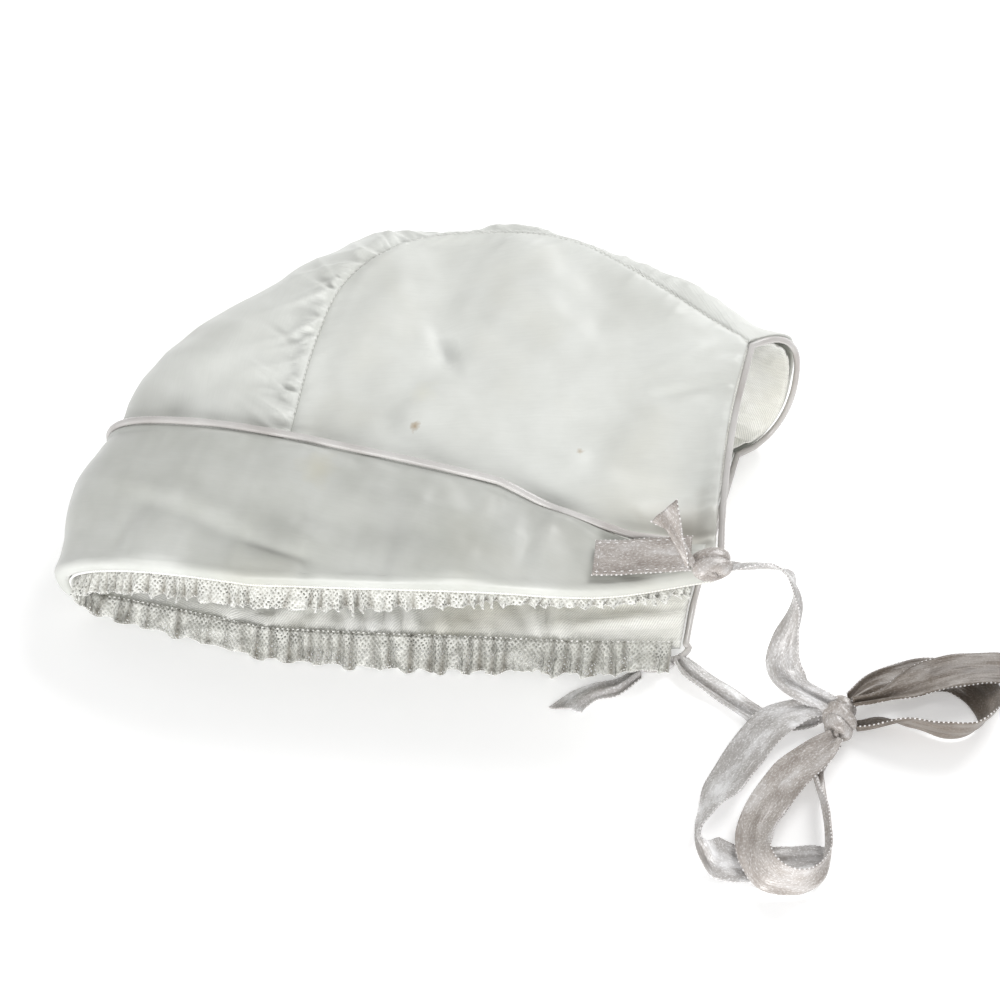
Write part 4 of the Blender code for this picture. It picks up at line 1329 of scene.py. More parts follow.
    def make_centre(self, finish: SatinFinish) -> bpy.types.Object:
        """Makes the panel that runs from the forehead over the back of the head to the nape.

        Args:
            finish: Its satin.

        Returns:
            The panel.
        """
        points = self.centre_points(*self.centre_steps)
        run = run_lengths(points)
        girth = run_lengths(points.transpose(1, 0, 2)).T
        near, far = girth, girth[:, -1:] - girth
        total = float(run[-1, 0])
        lift = self.dip(near) + self.dip(far)
        away = (points[..., 0] - self.gather_middle) / self.gather_reach
        strong = self.gather_least + (1 - self.gather_least) * np.exp(-away ** 2)
        lift += strong * self.gathers.lift(run[:, :1] + 0 * near, near, total)
        lift += 0.6 * self.gathers.lift(run[:, -1:] + 0 * far, far, float(run[-1, -1]))
        calm = ease(near / 5.0) * ease(far / 5.0)
        lift += 1.3 * calm * self.ripples.lift(points)
        lift += relief_height(points, self.creases) * ease((points[..., 2] - 20.0) / 12.0) * ease(near / 1.6)
        normals = grid_normals(points)
        outside = unit(points - points[:, [0, -1]].mean(axis=1, keepdims=True))
        if (normals * outside).sum(axis=-1).mean() < 0:
            normals = -normals
        points = points + lift[..., None] * normals
        points[..., 2] = np.maximum(points[..., 2], self.wall / 2 + TABLE_GAP)
        pattern = np.stack([run, girth], axis=-1)
        piece = thicken(GridMesh("centre_panel").add(points, pattern).make(), self.wall)
        dress(piece, finish.build("satin_centre", piece["pattern_span_mm"]), Slot.SATIN, "centre_panel")
        return piece


@dataclass
class Lining:
    """The satin lining, seen in the face opening and at the nape."""

    shape: ClothShape
    rise: float = -1.75
    wall: float = 0.5
    nape_inset: float = 0.012
    side_steps: int = 90
    around_steps: int = 70
    ripples: Ripples = Ripples(seed=23, count=18, shortest=4.0, longest=14.0, height=0.6)
    creases: tuple[Relief, ...] = ()

    def make(self, finish: SatinFinish) -> bpy.types.Object:
        """Makes the lining.

        Args:
            finish: Its satin.

        Returns:
            The lining.
        """
        across = np.linspace(0.0, 1 - self.nape_inset, self.side_steps + 1)
        share = np.linspace(0.0, 1.0, self.side_steps + 1)
        a, s = np.meshgrid(across, share, indexing="ij")
        upper, lower = self.shape.cloth(1 - a, s), self.shape.cloth(2 + a, s)
        along = np.concatenate([TURN * share, TURN + (1 - TURN) * across[1:]])
        around = np.linspace(0.0, 1.0, self.around_steps + 1)
        u, v = np.meshgrid(along, around, indexing="ij")
        centre = self.shape.cloth(1 + np.clip(v, NEAR_SEAM, 1 - NEAR_SEAM), u / TURN)
        maker = GridMesh("lining")
        maker.add(upper, upper[..., :2])
        maker.add(lower[::-1], lower[::-1, :, :2])
        maker.add(centre)
        reach = [self.shape.distance(1 - a, s), self.shape.distance(2 + a, s)[::-1],
                 self.shape.distance(1 + np.clip(v, NEAR_SEAM, 1 - NEAR_SEAM), u / TURN)]
        piece = maker.make(merge=0.02, depth=np.concatenate([ease(part / 4.0).ravel() for part in reach]))
        self.settle(piece)
        thicken(piece, self.wall)
        dress(piece, finish.build("satin_lining", piece["pattern_span_mm"]), Slot.LINING, "lining")
        return piece

    def settle(self, piece: bpy.types.Object) -> None:
        """Moves the lining inside the outer cloth and lets it crumple.

        Args:
            piece: The lining on the outer cloth's middle.
        """
        bm = bmesh.new()
        bm.from_mesh(piece.data)
        bmesh.ops.recalc_face_normals(bm, faces=bm.faces)
        bm.normal_update()
        places = np.array([vert.co for vert in bm.verts]) / MM + CENTRE
        normals = np.array([vert.normal for vert in bm.verts])
        layer = bm.verts.layers.float["depth"]
        free = np.array([vert[layer] for vert in bm.verts])
        centre = places.mean(axis=0)
        if ((places - centre) * normals).sum(axis=-1).mean() < 0:
            normals = -normals
            bmesh.ops.reverse_faces(bm, faces=bm.faces)
        crumple = np.abs(self.ripples.lift(places)) - relief_height(places, self.creases)
        moved = places + (self.rise - free * (crumple + 0.5))[:, None] * normals
        for vert, place in zip(bm.verts, to_row_frame(moved)):
            vert.co = place
        bm.to_mesh(piece.data)
        bm.free()


@dataclass
class Cuff:
    """The wide band turned back over the outside, with its fold round the face edge."""

    shape: ClothShape
    wall: float = 0.8
    puff: float = 1.1
    piping_room: float = 1.35
    steps: int = 460
    samples: int = 73
    outer_samples: int = 40
    creases: tuple[Relief, ...] = ()
    ripples: Ripples = Ripples(seed=31, count=18, shortest=6.0, longest=36.0, height=0.75)
    folds: Puckers = Puckers(17, 6.5, (2.5, 8.0), (0.6, 1.6), (0.08, 0.3))
    edge_folds: Puckers = Puckers(19, 5.0, (3.0, 8.0), (0.8, 1.8), (-0.4, 0.3))

    def profile(self, lanes: np.ndarray) -> tuple[np.ndarray, np.ndarray]:
        """The cuff from its free edge round the face edge: distances back and rises.

        Args:
            lanes: One lane for each row.

        Returns:
            The distances and the rises, rows by columns.
        """
        width = self.shape.cuff_width(lanes) - self.piping_room
        puff = self.puff * ease((lanes - 0.35) / 0.25) * ease((1.75 - lanes) / 0.5)
        rows = []
        for w, p in zip(width, puff):
            own = ((w, 1.75), (w - 2.4, 2.15), (0.72 * w, 2.3 + p), (0.57 * w, 2.3 + p),
                   (0.42 * w, 2.3 + p), (0.25 * w, 2.3 + 0.6 * p), (0.12 * w + 1.0, 2.3 + 0.25 * p),
                   (2.0, 2.25), (1.3, 2.15), (0.65, 1.8), (0.18, 1.25), (0.0, 0.4), (0.1, -0.6), (0.9, -1.1))
            rows.append(curve_points(own, np.linspace(0.0, 1.0, self.samples)))
        found = np.array(rows)
        return found[..., 0], found[..., 1]

    def make(self, finish: SatinFinish) -> bpy.types.Object:
        """Makes the cuff.

        Args:
            finish: Its satin.

        Returns:
            The cuff.
        """
        lanes = self.shape.even_lanes(CUFF_END_LANE, 3.0 - CUFF_END_LANE, self.steps)
        back, rise = self.profile(lanes)
        points = self.shape.raised(lanes, back, rise)
        run = run_lengths(points)
        calm = ease(back / 3.0) * ease((back[:, :1] - back) / 2.0)
        lift = calm * self.ripples.lift(points)
        lift += calm * self.folds.lift(run, np.maximum(back[:, :1] - back, 0.0), float(run[-1, 0]))
        lift += calm * self.edge_folds.lift(run, np.maximum(back - 1.5, 0.0), float(run[-1, 0]))
        lift += relief_height(points, self.creases) * ease((points[..., 2] - 12.0) / 12.0) * ease(back / 1.5)
        lift += relief_height(points, CUFF_CORNER)
        normals = grid_normals(points)
        outside = self.shape.edge_normal(lanes, back)
        upright = (normals * outside).sum(axis=-1)[:, :self.outer_samples].mean()
        points = points + lift[..., None] * (normals if upright > 0 else -normals)
        points[..., 2] = np.maximum(points[..., 2], self.wall / 2 + TABLE_GAP)
        piece = thicken(GridMesh("cuff").add(points).make(), self.wall)
        dress(piece, finish.build("satin_cuff", piece["pattern_span_mm"]), Slot.SATIN, "cuff")
        return piece


@dataclass
class Pipings:
    """Satin-covered cords along the cuff's free edge and round the nape."""

    shape: ClothShape
    cuff_radius: float = 0.95
    nape_radius: float = 0.8
    cuff_rise: float = 2.2
    nape_rise: float = -0.45
    tuck_reach: float = 7.0
    tuck_depth: float = 1.6
    lower_corner: tuple = ((46.7, -51.6, 2.6), (45.2, -53.6, 2.3), (42.8, -54.7, 2.0), (40.4, -55.0, 1.9))
    sides: int = 16
    twist: float = 1.25
    uneven_step: float = 4.0
    cuff_steps: int = 400
    side_steps: int = 60
    back_steps: int = 90

    def cuff_line(self) -> np.ndarray:
        """The middle of the cuff's corded edge."""
        lanes = np.linspace(CUFF_END_LANE, 3.0 - CUFF_END_LANE, self.cuff_steps)
        width = self.shape.cuff_width(lanes)[:, None]
        line = self.shape.raised(lanes, width, np.full(width.shape, self.cuff_rise))
        line = self.shape.raised(lanes, width, self.cuff_rise + relief_height(line, CUFF_CORNER))[:, 0]
        line = even_line(line, LINE_STEP)
        under = ease(1 - np.arange(len(line)) * LINE_STEP / self.tuck_reach)
        line[:, 2] -= self.tuck_depth * under
        return line[6:]

    def nape_line(self) -> np.ndarray:
        """The middle of the corded edge round the nape."""
        share = np.linspace(0.03, 1.0, self.side_steps)
        drop = np.array((0.0, 0.0, self.nape_rise))
        upper = self.shape.cloth(np.zeros_like(share), share) + drop
        lower = self.shape.cloth(np.full_like(share, 3.0), share[::-1]) - drop
        around = np.clip(np.linspace(0.0, 1.0, self.back_steps), NEAR_SEAM, 1 - NEAR_SEAM)
        line = self.shape.cloth(1 + around, np.full_like(around, 2.0))
        before = self.shape.cloth(1 + around, np.full_like(around, 1.98))
        out = unit(np.cross(line - before, np.gradient(line, axis=0)))
        line = line + self.nape_rise * out
        corner = curve_points((lower[-1], *self.lower_corner), np.linspace(0.0, 1.0, 20))
        return even_line(np.vstack([upper[:-1], line, lower[1:-1], corner]), LINE_STEP)

    def cord(self, name: str, line: np.ndarray, thick: float, seed: int) -> bpy.types.Object:
        """Makes one covered cord.

        Args:
            name: The piece's name.
            line: The cord's middle.
            thick: Its radius.
            seed: Chooses its unevenness.

        Returns:
            The cord's mesh object.
        """
        chance = np.random.default_rng(seed)
        run = run_lengths(line)[:, None]
        angle = np.linspace(0.0, 2 * math.pi, self.sides, endpoint=False)[None]
        pleats = np.sin(run * 2 * math.pi / self.twist + angle + 0.8 * np.sin(run / 5.3))
        marks = np.arange(0.0, run[-1, 0] + self.uneven_step, self.uneven_step)
        uneven = np.interp(run[:, 0], marks, chance.uniform(-0.05, 0.05, len(marks)))[:, None]
        radius = thick * (1.0 + 0.045 * pleats + uneven)
        radius[:3] *= np.array((0.01, 0.6, 0.88))[:, None]
        radius[-3:] *= np.array((0.88, 0.6, 0.01))[:, None]
        rings = sweep(line, radius, self.sides)
        pattern = np.stack([run + 0 * angle, angle * thick + 0 * run], axis=-1)
        rings[..., 2] = np.maximum(rings[..., 2], TABLE_GAP)
        return GridMesh(name).add(rings, pattern, round_trip=True).make(merge=0.05)

    def make(self, finish: SatinFinish) -> None:
        """Makes both corded edges.

        Args:
            finish: The satin that covers the cord.
        """
        for name, line, thick, seed in (("cuff_piping", self.cuff_line(), self.cuff_radius, 3),
                                        ("nape_piping", self.nape_line(), self.nape_radius, 4)):
            piece = self.cord(name, line, thick, seed)
            dress(piece, finish.build("satin_" + name, piece["pattern_span_mm"]), Slot.PIPING, name)


@dataclass
class LaceRuffle:
    """The gathered lace inside the face edge."""

    shape: ClothShape
    first_lane: float = 0.045
    last_lane: float = 2.985
    rise: float = -2.75
    wall: float = 0.2
    folds: int = 96
    samples: int = 14
    wave: float = 1.35
    floor: float = 0.3
    seed: int = 41
    flat_share: float = 0.63
    header_back: float = 0.9
    header_lane: float = 1.55
    loops: ThreadRow = ThreadRow(0.72, 0.62, 0.44, seed=3, unevenness=0.5)
    header: ThreadRow = ThreadRow(1.25, 0.95, 0.55, seed=6, unevenness=0.35)
    crumple: Ripples = Ripples(seed=43, count=26, shortest=1.3, longest=5.0, height=0.34)

    def points(self, lanes: np.ndarray, parts: np.ndarray, phase: np.ndarray,
               strength: np.ndarray) -> np.ndarray:
        """Places on the lace.

        Args:
            lanes: One lane for each row.
            parts: From -1 at the root inside the face edge to 1 at the free edge.
            phase: Where each place stands in its fold.
            strength: How deep the folds are at each row.

        Returns:
            The places, rows by columns.
        """
        fall = table_value(LACE_FALLS, lanes)[:, None]
        inner = table_value(LACE_ROOTS, lanes)[:, None] * np.maximum(-parts, 0.0)[None]
        start = self.shape.raised(lanes, inner, np.full(inner.shape, self.rise))
        edge = self.shape.edge(lanes, np.zeros((len(lanes), 1)))
        forward = unit(self.shape.edge(lanes, np.full((len(lanes), 1), -1.0)) - edge)
        out = np.maximum(parts, 0.0)[None, :, None]
        droop = np.radians(table_value(LACE_DROOPS, lanes) + 14.0 * (strength - 0.9))[:, None, None]
        start, forward = self.steady(start), unit(self.steady(forward))
        along = np.cos(droop) * forward + np.sin(droop) * np.array((0.0, 0.0, -1.0))
        girth = unit(self.steady(np.gradient(edge, axis=0)))
        across = unit(np.cross(girth, along))
        opened = (0.16 + 0.84 * np.clip(parts, 0.0, 1.0) ** 0.7)[None]
        pleat = 2.0 * np.abs(np.sin(phase / 2)) ** 0.9 - 1.0
        swing = (self.wave * strength[:, None] * opened * pleat)[..., None]
        sideways = (0.55 * strength[:, None] * opened * np.sin(phase + 0.5))[..., None]
        ragged = 0.07 * np.sin(2.9 * np.arange(len(lanes)) / self.samples) * strength
        reach = fall * (0.93 + 0.08 * strength + ragged)[:, None]
        placed = start + out * reach[..., None] * along + swing * across + sideways * girth
        rough = self.crumple.lift(placed) * (0.35 + 0.65 * np.maximum(parts, 0.0))[None]
        placed = placed + rough[..., None] * across
        placed[..., 2] = np.maximum(placed[..., 2], self.floor)
        return placed

    def steady(self, rows: np.ndarray) -> np.ndarray:
        """Evens values out along the ruffle."""
        reach = 2 * self.samples
        padded = np.concatenate([rows[:1].repeat(reach, 0), rows, rows[-1:].repeat(reach, 0)])
        total = np.cumsum(np.concatenate([0 * padded[:1], padded]), axis=0)
        return (total[2 * reach + 1:] - total[:-2 * reach - 1]) / (2 * reach + 1)

    def make(self, finish: LaceFinish, thread: ThreadFinish) -> bpy.types.Object:
        """Makes the ruffle with its looped edge and its header.

        Args:
            finish: Its net.
            thread: Its loops and stitches.

        Returns:
            The ruffle.
        """
        chance = np.random.default_rng(self.seed)
        count = self.folds * self.samples
        lanes = self.shape.even_lanes(self.first_lane, self.last_lane, count)
        marks, own = np.linspace(0, count, self.folds + 1), np.arange(count + 1)
        pace = np.interp(own, marks, chance.uniform(0.35, 2.4, self.folds + 1))
        phase = np.cumsum(pace) / pace.sum() * self.folds * math.tau
        strength = np.interp(own, marks, chance.uniform(0.2, 1.6, self.folds + 1))
        parts = np.concatenate([np.linspace(-1.0, -0.2, 4), np.linspace(0.0, 1.0, 15)])
        tilt = np.interp(own, marks, chance.uniform(-2.2, 2.2, self.folds + 1))
        phase = phase[:, None] + tilt[:, None] * np.maximum(parts, 0.0)[None]
        points = self.points(lanes, parts, phase, strength)
        # How deep each point lies in a pleat's valley; the lace's finish paints shade from it.
        valley = 1.0 - np.abs(np.sin(phase / 2))
        depth = valley ** 2 * np.minimum(strength, 1.0)[:, None] * (0.5 + 0.5 * np.abs(parts))[None]
        piece = thicken(GridMesh("lace_ruffle").add(points).make(depth=depth), self.wall)
        dress(piece, finish.build("lace_net", piece["pattern_span_mm"]), Slot.LACE, "lace_ruffle")
        loops = self.loops.make("lace_loops", [points[:, -1], points[:, -2]], thread.build("lace_thread"))
        one = np.ones((count + 1, 1))
        on_top = self.shape.raised(lanes, self.header_back * one, (self.rise - 0.1) * one)[:, 0]
        header = self.header.make("lace_header", [on_top[lanes > self.header_lane]],
                                  thread.build("lace_header_thread"))
        for extra in (loops, header):
            carry(extra)
        return piece


def middle_ridge(side: np.ndarray) -> np.ndarray:
    """The low ridge along a ribbon's middle, by the place across from -1 to 1."""
    return 0.1 * np.exp(-(side / 0.16) ** 2)


@dataclass
class Ribbon:
    """One run of picot-edged ribbon along its rows."""

    rows: tuple[Row, ...]
    full_width: float = RIBBON_WIDTH
    wall: float = RIBBON_WALL
    pleats: float = 1.5
    cup: float = 0.25
    fold: float = 0.09
    slant: float = 0.0
    seed: int = 1
    samples: int = 21
    fine_steps: int = 400
    middle: np.ndarray = field(init=False, repr=False)
    grid: np.ndarray = field(init=False, repr=False)

    def __post_init__(self) -> None:
        """Works out the ribbon's points."""
        rows, fine = np.array(self.rows, float), np.linspace(0.0, 1.0, self.fine_steps)
        lengths = run_lengths(curve_points(rows[:, :3], fine))
        steps = max(24, int(lengths[-1] / LINE_STEP))
        shares = np.interp(np.linspace(0.0, lengths[-1], steps + 1), lengths, fine)
        middle = curve_points(rows[:, :3], shares)
        turned = curve_points(rows[:, 3:], shares)
        heading, rise = np.radians(turned[:, 0]), np.radians(turned[:, 1])
        width = np.clip(turned[:, 2], 0.2, 1.0)
        level = np.cos(rise)
        across = np.stack([np.cos(heading) * level, np.sin(heading) * level, np.sin(rise)], axis=-1)
        ways = unit(np.gradient(middle, axis=0))
        up = unit(np.cross(ways, across))
        side = np.linspace(-1.0, 1.0, self.samples)
        run = run_lengths(middle)
        chance = np.random.default_rng(self.seed)
        phase = chance.uniform(0, 6.28)
        squeeze = np.sqrt(np.maximum(1 - width ** 2, 0.0))[:, None]
        fold = self.full_width * self.fold * squeeze * np.sin(math.pi * self.pleats * side[None] + phase)
        edge_wave = 0.2 * np.sin(run[:, None] / 1.9 + phase) * side[None] ** 3
        drift = side[None] * 3.2 + 0.9 * np.sin(run[:, None] / 7.0 + phase)
        knotted = np.exp(-run / 9.0)[:, None] + np.exp(-(run[-1] - run) / 9.0)[:, None]
        ridge = middle_ridge(side[None]) + (0.12 + 0.2 * knotted) * np.sin(2.1 * drift)
        cupped = self.cup * (side[None] ** 2 - 0.35) * width[:, None]
        lift = fold + edge_wave + ridge + cupped
        half = 0.5 * self.full_width * width[:, None] * side[None]
        reach = self.slant * side[None] * ease(1 - (run[-1] - run) / 6.0)[:, None]
        self.middle = middle
        self.grid = (middle[:, None] + half[..., None] * across[:, None] + lift[..., None] * up[:, None]
                     + reach[..., None] * ways[:, None])
        self.grid[..., 2] = np.maximum(self.grid[..., 2], self.wall / 2 + 0.04)

    def edges(self) -> list[np.ndarray]:
        """The ribbon's two long edges."""
        return [self.grid[:, 0], self.grid[:, -1]]


@dataclass(frozen=True)
class RibbonKnot:
    """A knot of ribbon: wraps laid round a soft core."""

    name: str
    centre: tuple[float, float, float]
    half_size: tuple[float, float, float]
    heading: float
    wraps: int
    tilt: float = 0.5
    rings: int = 61
    segments: int = 72
    pole: float = 0.02

    def make(self, finish: RibbonFinish) -> bpy.types.Object:
        """Makes the knot.

        Args:
            finish: The ribbon's finish.

        Returns:
            The knot.
        """
        polar = np.linspace(self.pole, math.pi - self.pole, self.rings)[:, None]
        round_it = np.linspace(0.0, 2 * math.pi, self.segments, endpoint=False)[None]
        x = np.sin(polar) * np.cos(round_it)
        z = np.sin(polar) * np.sin(round_it)
        y = np.cos(polar) + 0 * round_it
        lean = y + self.tilt * 0.35 * x + 0.12 * np.sin(2 * round_it)
        wrap = np.abs(np.sin(math.pi * self.wraps * (lean + 1) / 2))
        groove = 0.80 + 0.24 * wrap ** 0.45 + 0.02 * np.sin(9 * lean + 3 * x)
        pinch = 1 - 0.12 * np.exp(-((np.abs(y) - 1.0) / 0.25) ** 2)
        points = np.stack([x, y, z], axis=-1) * (groove * pinch)[..., None] * np.array(self.half_size)
        turn = math.radians(self.heading)
        turned = points.copy()
        turned[..., 0] = points[..., 0] * math.cos(turn) - points[..., 1] * math.sin(turn)
        turned[..., 1] = points[..., 0] * math.sin(turn) + points[..., 1] * math.cos(turn)
        placed = turned + np.array(self.centre)
        placed[..., 2] = np.maximum(placed[..., 2], 0.05)
        pattern = np.stack([round_it * 4.0 + 0 * polar, polar * 4.0 + 0 * round_it], axis=-1)
        maker = GridMesh(self.name).add(placed, pattern, round_trip=True)
        piece = maker.make(merge=0.001)
        bm = bmesh.new()
        bm.from_mesh(piece.data)
        bmesh.ops.holes_fill(bm, edges=bm.edges)
        bmesh.ops.recalc_face_normals(bm, faces=bm.faces)
        bm.to_mesh(piece.data)
        bm.free()
        piece.data.shade_smooth()
        dress(piece, finish.build("ribbon_" + self.name, piece["pattern_span_mm"]), Slot.RIBBON, self.name)
        return piece


@dataclass
class RibbonTies:
    """Both ties with their knots, tails and the bow between them."""

    shape: ClothShape
    finish: RibbonFinish
    # pale is the painted lit copy of the ribbon's finish and dark the painted shaded copy.
    pale: RibbonFinish
    dark: RibbonFinish
    picot_finish: ThreadFinish
    picots: ThreadRow = ThreadRow(1.12, 0.74, 0.56, seed=8, unevenness=0.4)
    band_stitches: ThreadRow = ThreadRow(1.9, 1.15, 0.3, seed=2)
    corner_knot: RibbonKnot = RibbonKnot("corner_knot", (49.6, -57.0, 40.8), (5.0, 4.8, 3.1), 20.0, 2)
    lower_knot: RibbonKnot = RibbonKnot("lower_knot", (38.6, -56.0, 1.8), (4.7, 2.4, 1.65), 10.0, 2)
    bow_knot: RibbonKnot = RibbonKnot("bow_knot", (81.8, -74.4, 4.0), (4.1, 6.9, 3.9), -6.0, 3)
    band_lanes: tuple[float, float] = (0.275, 0.066)
    band_steps: tuple[int, int] = (46, 13)
    band_rise: float = 3.55
    band_gap: float = 0.45

    def run(self, name: str, rows: tuple[Row, ...], finish: RibbonFinish, *nodes: str,
            **options: float) -> tuple[Ribbon, bpy.types.Object, bpy.types.Object]:
        """Makes one run of ribbon with its looped edges.

        Args:
            name: The piece's name.
            rows: Its rows.
            finish: Its finish.
            nodes: The solids that it stands for.
            options: Other sizes of the ribbon.

        Returns:
            The run, its piece and its looped edges.
        """
        ribbon = Ribbon(rows, **options)
        piece = thicken(GridMesh(name).add(ribbon.grid).make(), ribbon.wall)
        dress(piece, finish.build("ribbon_" + name, piece["pattern_span_mm"]), Slot.RIBBON, *nodes)
        thread = self.picot_finish.build("picot_" + name)
        edging = self.picots.make(name + "_picots", ribbon.edges(), thread)
        carry(edging)
        return ribbon, piece, edging

    def spare_height(self, lanes: np.ndarray, back: np.ndarray, rise: np.ndarray) -> np.ndarray:
        """How far each row of the stitched band may drop before it lies on the solid cuff.

        Args:
            lanes: The lane of each row.
            back: Distances back, by row and place across.
            rise: Rises above the cloth, by row and place across.

        Returns:
            The drop of each row in millimetres, even from row to row.
        """
        points = self.shape.raised(lanes, back, rise)
        down = points - self.shape.raised(lanes, back, rise + 1.0)
        spare = np.full(rise.shape, 4.0)
        bpy.context.view_layer.update()
        for below in (bpy.data.objects["cuff"], bpy.data.objects["cuff_piping"]):
            for place in np.ndindex(*spare.shape):
                start = to_row_frame(points[place])
                hit, spot, _, _ = below.ray_cast(tuple(start), tuple(down[place]))
                if hit:
                    gap = float(np.linalg.norm(np.array(spot) - start)) / MM
                    spare[place] = min(spare[place], gap - self.band_gap)
        lowest = np.pad(np.maximum(spare.min(axis=1), 0.0), 4, mode="edge")
        lowest = np.array([lowest[i:i + 9].min() for i in range(len(lanes))])
        return np.convolve(np.pad(lowest, 3, mode="edge"), np.full(7, 1 / 7), "valid")

    def make_band(self) -> list[bpy.types.Object]:
        """Makes the end of the near ribbon that is stitched flat on the cuff.

        Returns:
            The band, its looped edges and its stitches.
        """
        lanes = np.linspace(*self.band_lanes, self.band_steps[0])
        middle = table_value(TIE_BAND, lanes)
        side = np.linspace(-1.0, 1.0, self.band_steps[1])
        back = middle[:, None] + 0.5 * RIBBON_WIDTH * side[None]
        rise = np.full(back.shape, self.band_rise) + middle_ridge(side[None])
        rise = rise - self.spare_height(lanes, back, rise)[:, None]
        ripple = 0.1 * np.sin(np.linspace(0, 16, len(lanes)))[:, None] * side[None] ** 2
        points = self.shape.raised(lanes, back, rise + ripple)
        piece = thicken(GridMesh("tie_band").add(points).make(), RIBBON_WALL)
        dress(piece, self.finish.build("ribbon_tie_band", piece["pattern_span_mm"]), Slot.RIBBON, "tie_band")
        edging = self.picots.make("tie_band_picots", [points[:, 0], points[:, -1]],
                                  self.picot_finish.build("picot_tie_band"))
        lifted = self.shape.raised(lanes, back, rise + ripple + 0.25)
        rows = [lifted[2, 1:-1], lifted[2:-4, -2], lifted[2:-4, 1]]
        stitches = self.band_stitches.make("tie_band_stitches", rows,
                                           self.picot_finish.build("stitch_tie_band"))
        for thread in (edging, stitches):
            carry(thread)
        return [piece, edging, stitches]

    def make(self) -> None:
        band = self.make_band()
        corner = self.corner_knot.make(self.finish)
        # The pale finish paints light on the runs and knot that face the light; the dark finish paints shade on
        # the side loop and tail.
        lower_knot = self.lower_knot.make(self.pale)
        bow = self.bow_knot.make(self.finish)
        tail = self.run("corner_tail", CORNER_TAIL, self.finish, "corner_tail", slant=1.5, cup=0.1, seed=4)
        lower_tail = self.run("lower_tail", LOWER_TAIL, self.pale, "lower_tail", slant=1.5, seed=5)
        upper = self.run("tie_upper", TIE_UPPER, self.pale, "tie_upper", seed=6)
        loop = self.run("bow_loop_near", BOW_LOOP_NEAR, self.finish, "bow_loop_near", seed=7)
        side_loop = self.run("bow_loop_side", BOW_LOOP_SIDE, self.dark, "bow_loop_side", seed=8)
        side_tail = self.run("bow_tail_side", BOW_TAIL_SIDE, self.dark, "bow_tail_side", seed=9, slant=2.0)
        through = (Row(77.8, -73.6, 2.6, 60.0, 0.0, 0.4),)
        lower = self.run("tie_lower", TIE_LOWER[:-1] + through + BOW_TAIL_NEAR, self.pale, "tie_lower",
                         "bow_tail_near", seed=10, slant=0.7, fold=0.05)


@dataclass(frozen=True)
class PhotoView:
    """The camera at the photograph's viewing angle."""

    elevation: float = 48.0
    distance: float = 0.65
    lens: float = 89.31

    def make(self) -> bpy.types.Object:
        """Makes the camera.

        Returns:
            The camera.
        """
        lens = bpy.data.cameras.new("camera")
        lens.lens = self.lens
        lens.clip_start = 0.01
        camera = bpy.data.objects.new("camera", lens)
        up = math.radians(self.elevation)
        target = to_row_frame(np.zeros(3))
        camera.location = target + self.distance * np.array((0.0, -math.cos(up), math.sin(up)))
        camera.rotation_euler = (math.pi / 2 - up, 0.0, 0.0)
        bpy.context.collection.objects.link(camera)
        bpy.context.scene.camera = camera
        return camera


@dataclass(frozen=True)
class Lamp:
    """A soft square lamp that looks at the bonnet: its place and side in metres, and its power in watts."""

    name: str
    place: tuple[float, float, float]
    size: float
    power: float

    def make(self) -> None:
        """Makes the lamp."""
        data = bpy.data.lights.new(self.name, "AREA")
        data.shape = "SQUARE"
        data.size = self.size
        data.energy = self.power
        lamp = bpy.data.objects.new(self.name, data)
        lamp.location = self.place
        way = -np.array(self.place)
        lamp.rotation_euler = (math.atan2(math.hypot(way[0], way[1]), -way[2]), 0.0,
                               math.atan2(way[1], way[0]) - math.pi / 2)
        bpy.context.collection.objects.link(lamp)


@dataclass(frozen=True)
class Studio:
    """A plain pale floor that glows a little, like a light table, and soft light."""

    sky: float = 0.51
    key: Lamp = Lamp("key_light", (0.56, 0.72, 0.74), 0.62, 8.5)
    low: Lamp = Lamp("low_light", (-0.06, -0.42, 0.06), 0.12, 0.5)
    front: Lamp = Lamp("front_light", (-0.42, -1.06, 0.27), 0.6, 5.6)
    glow: float = 0.34
    floor_reach: float = 3.0
    floor_tone: tuple[float, float, float, float] = colour(0.93, 0.93, 0.93)

    def make(self) -> None:
        """Makes the sky, the lights and the floor."""
        bpy.context.scene.view_settings.view_transform = "Standard"
        world = bpy.data.worlds.new("studio")
        bpy.context.scene.world = world
        world.use_nodes = True
        world.node_tree.nodes["Background"].inputs["Color"].default_value = colour(1.0, 1.0, 1.0)
        world.node_tree.nodes["Background"].inputs["Strength"].default_value = self.sky
        for lamp in (self.key, self.low, self.front):
            lamp.make()
        mesh = bpy.data.meshes.new("floor")
        reach = self.floor_reach
        corners = [(-reach, -reach, 0.0), (reach, -reach, 0.0), (reach, reach, 0.0), (-reach, reach, 0.0)]
        mesh.from_pydata(corners, [], [(0, 1, 2, 3)])
        floor = bpy.data.objects.new("floor", mesh)
        bpy.context.collection.objects.link(floor)
        material = bpy.data.materials.new("floor")
        material.use_nodes = True
        shader = material.node_tree.nodes["Principled BSDF"]
        shader.inputs["Base Color"].default_value = self.floor_tone
        shader.inputs["Roughness"].default_value = 0.9
        shader.inputs["Emission Color"].default_value = self.floor_tone
        shader.inputs["Emission Strength"].default_value = self.glow
        mesh.materials.append(material)


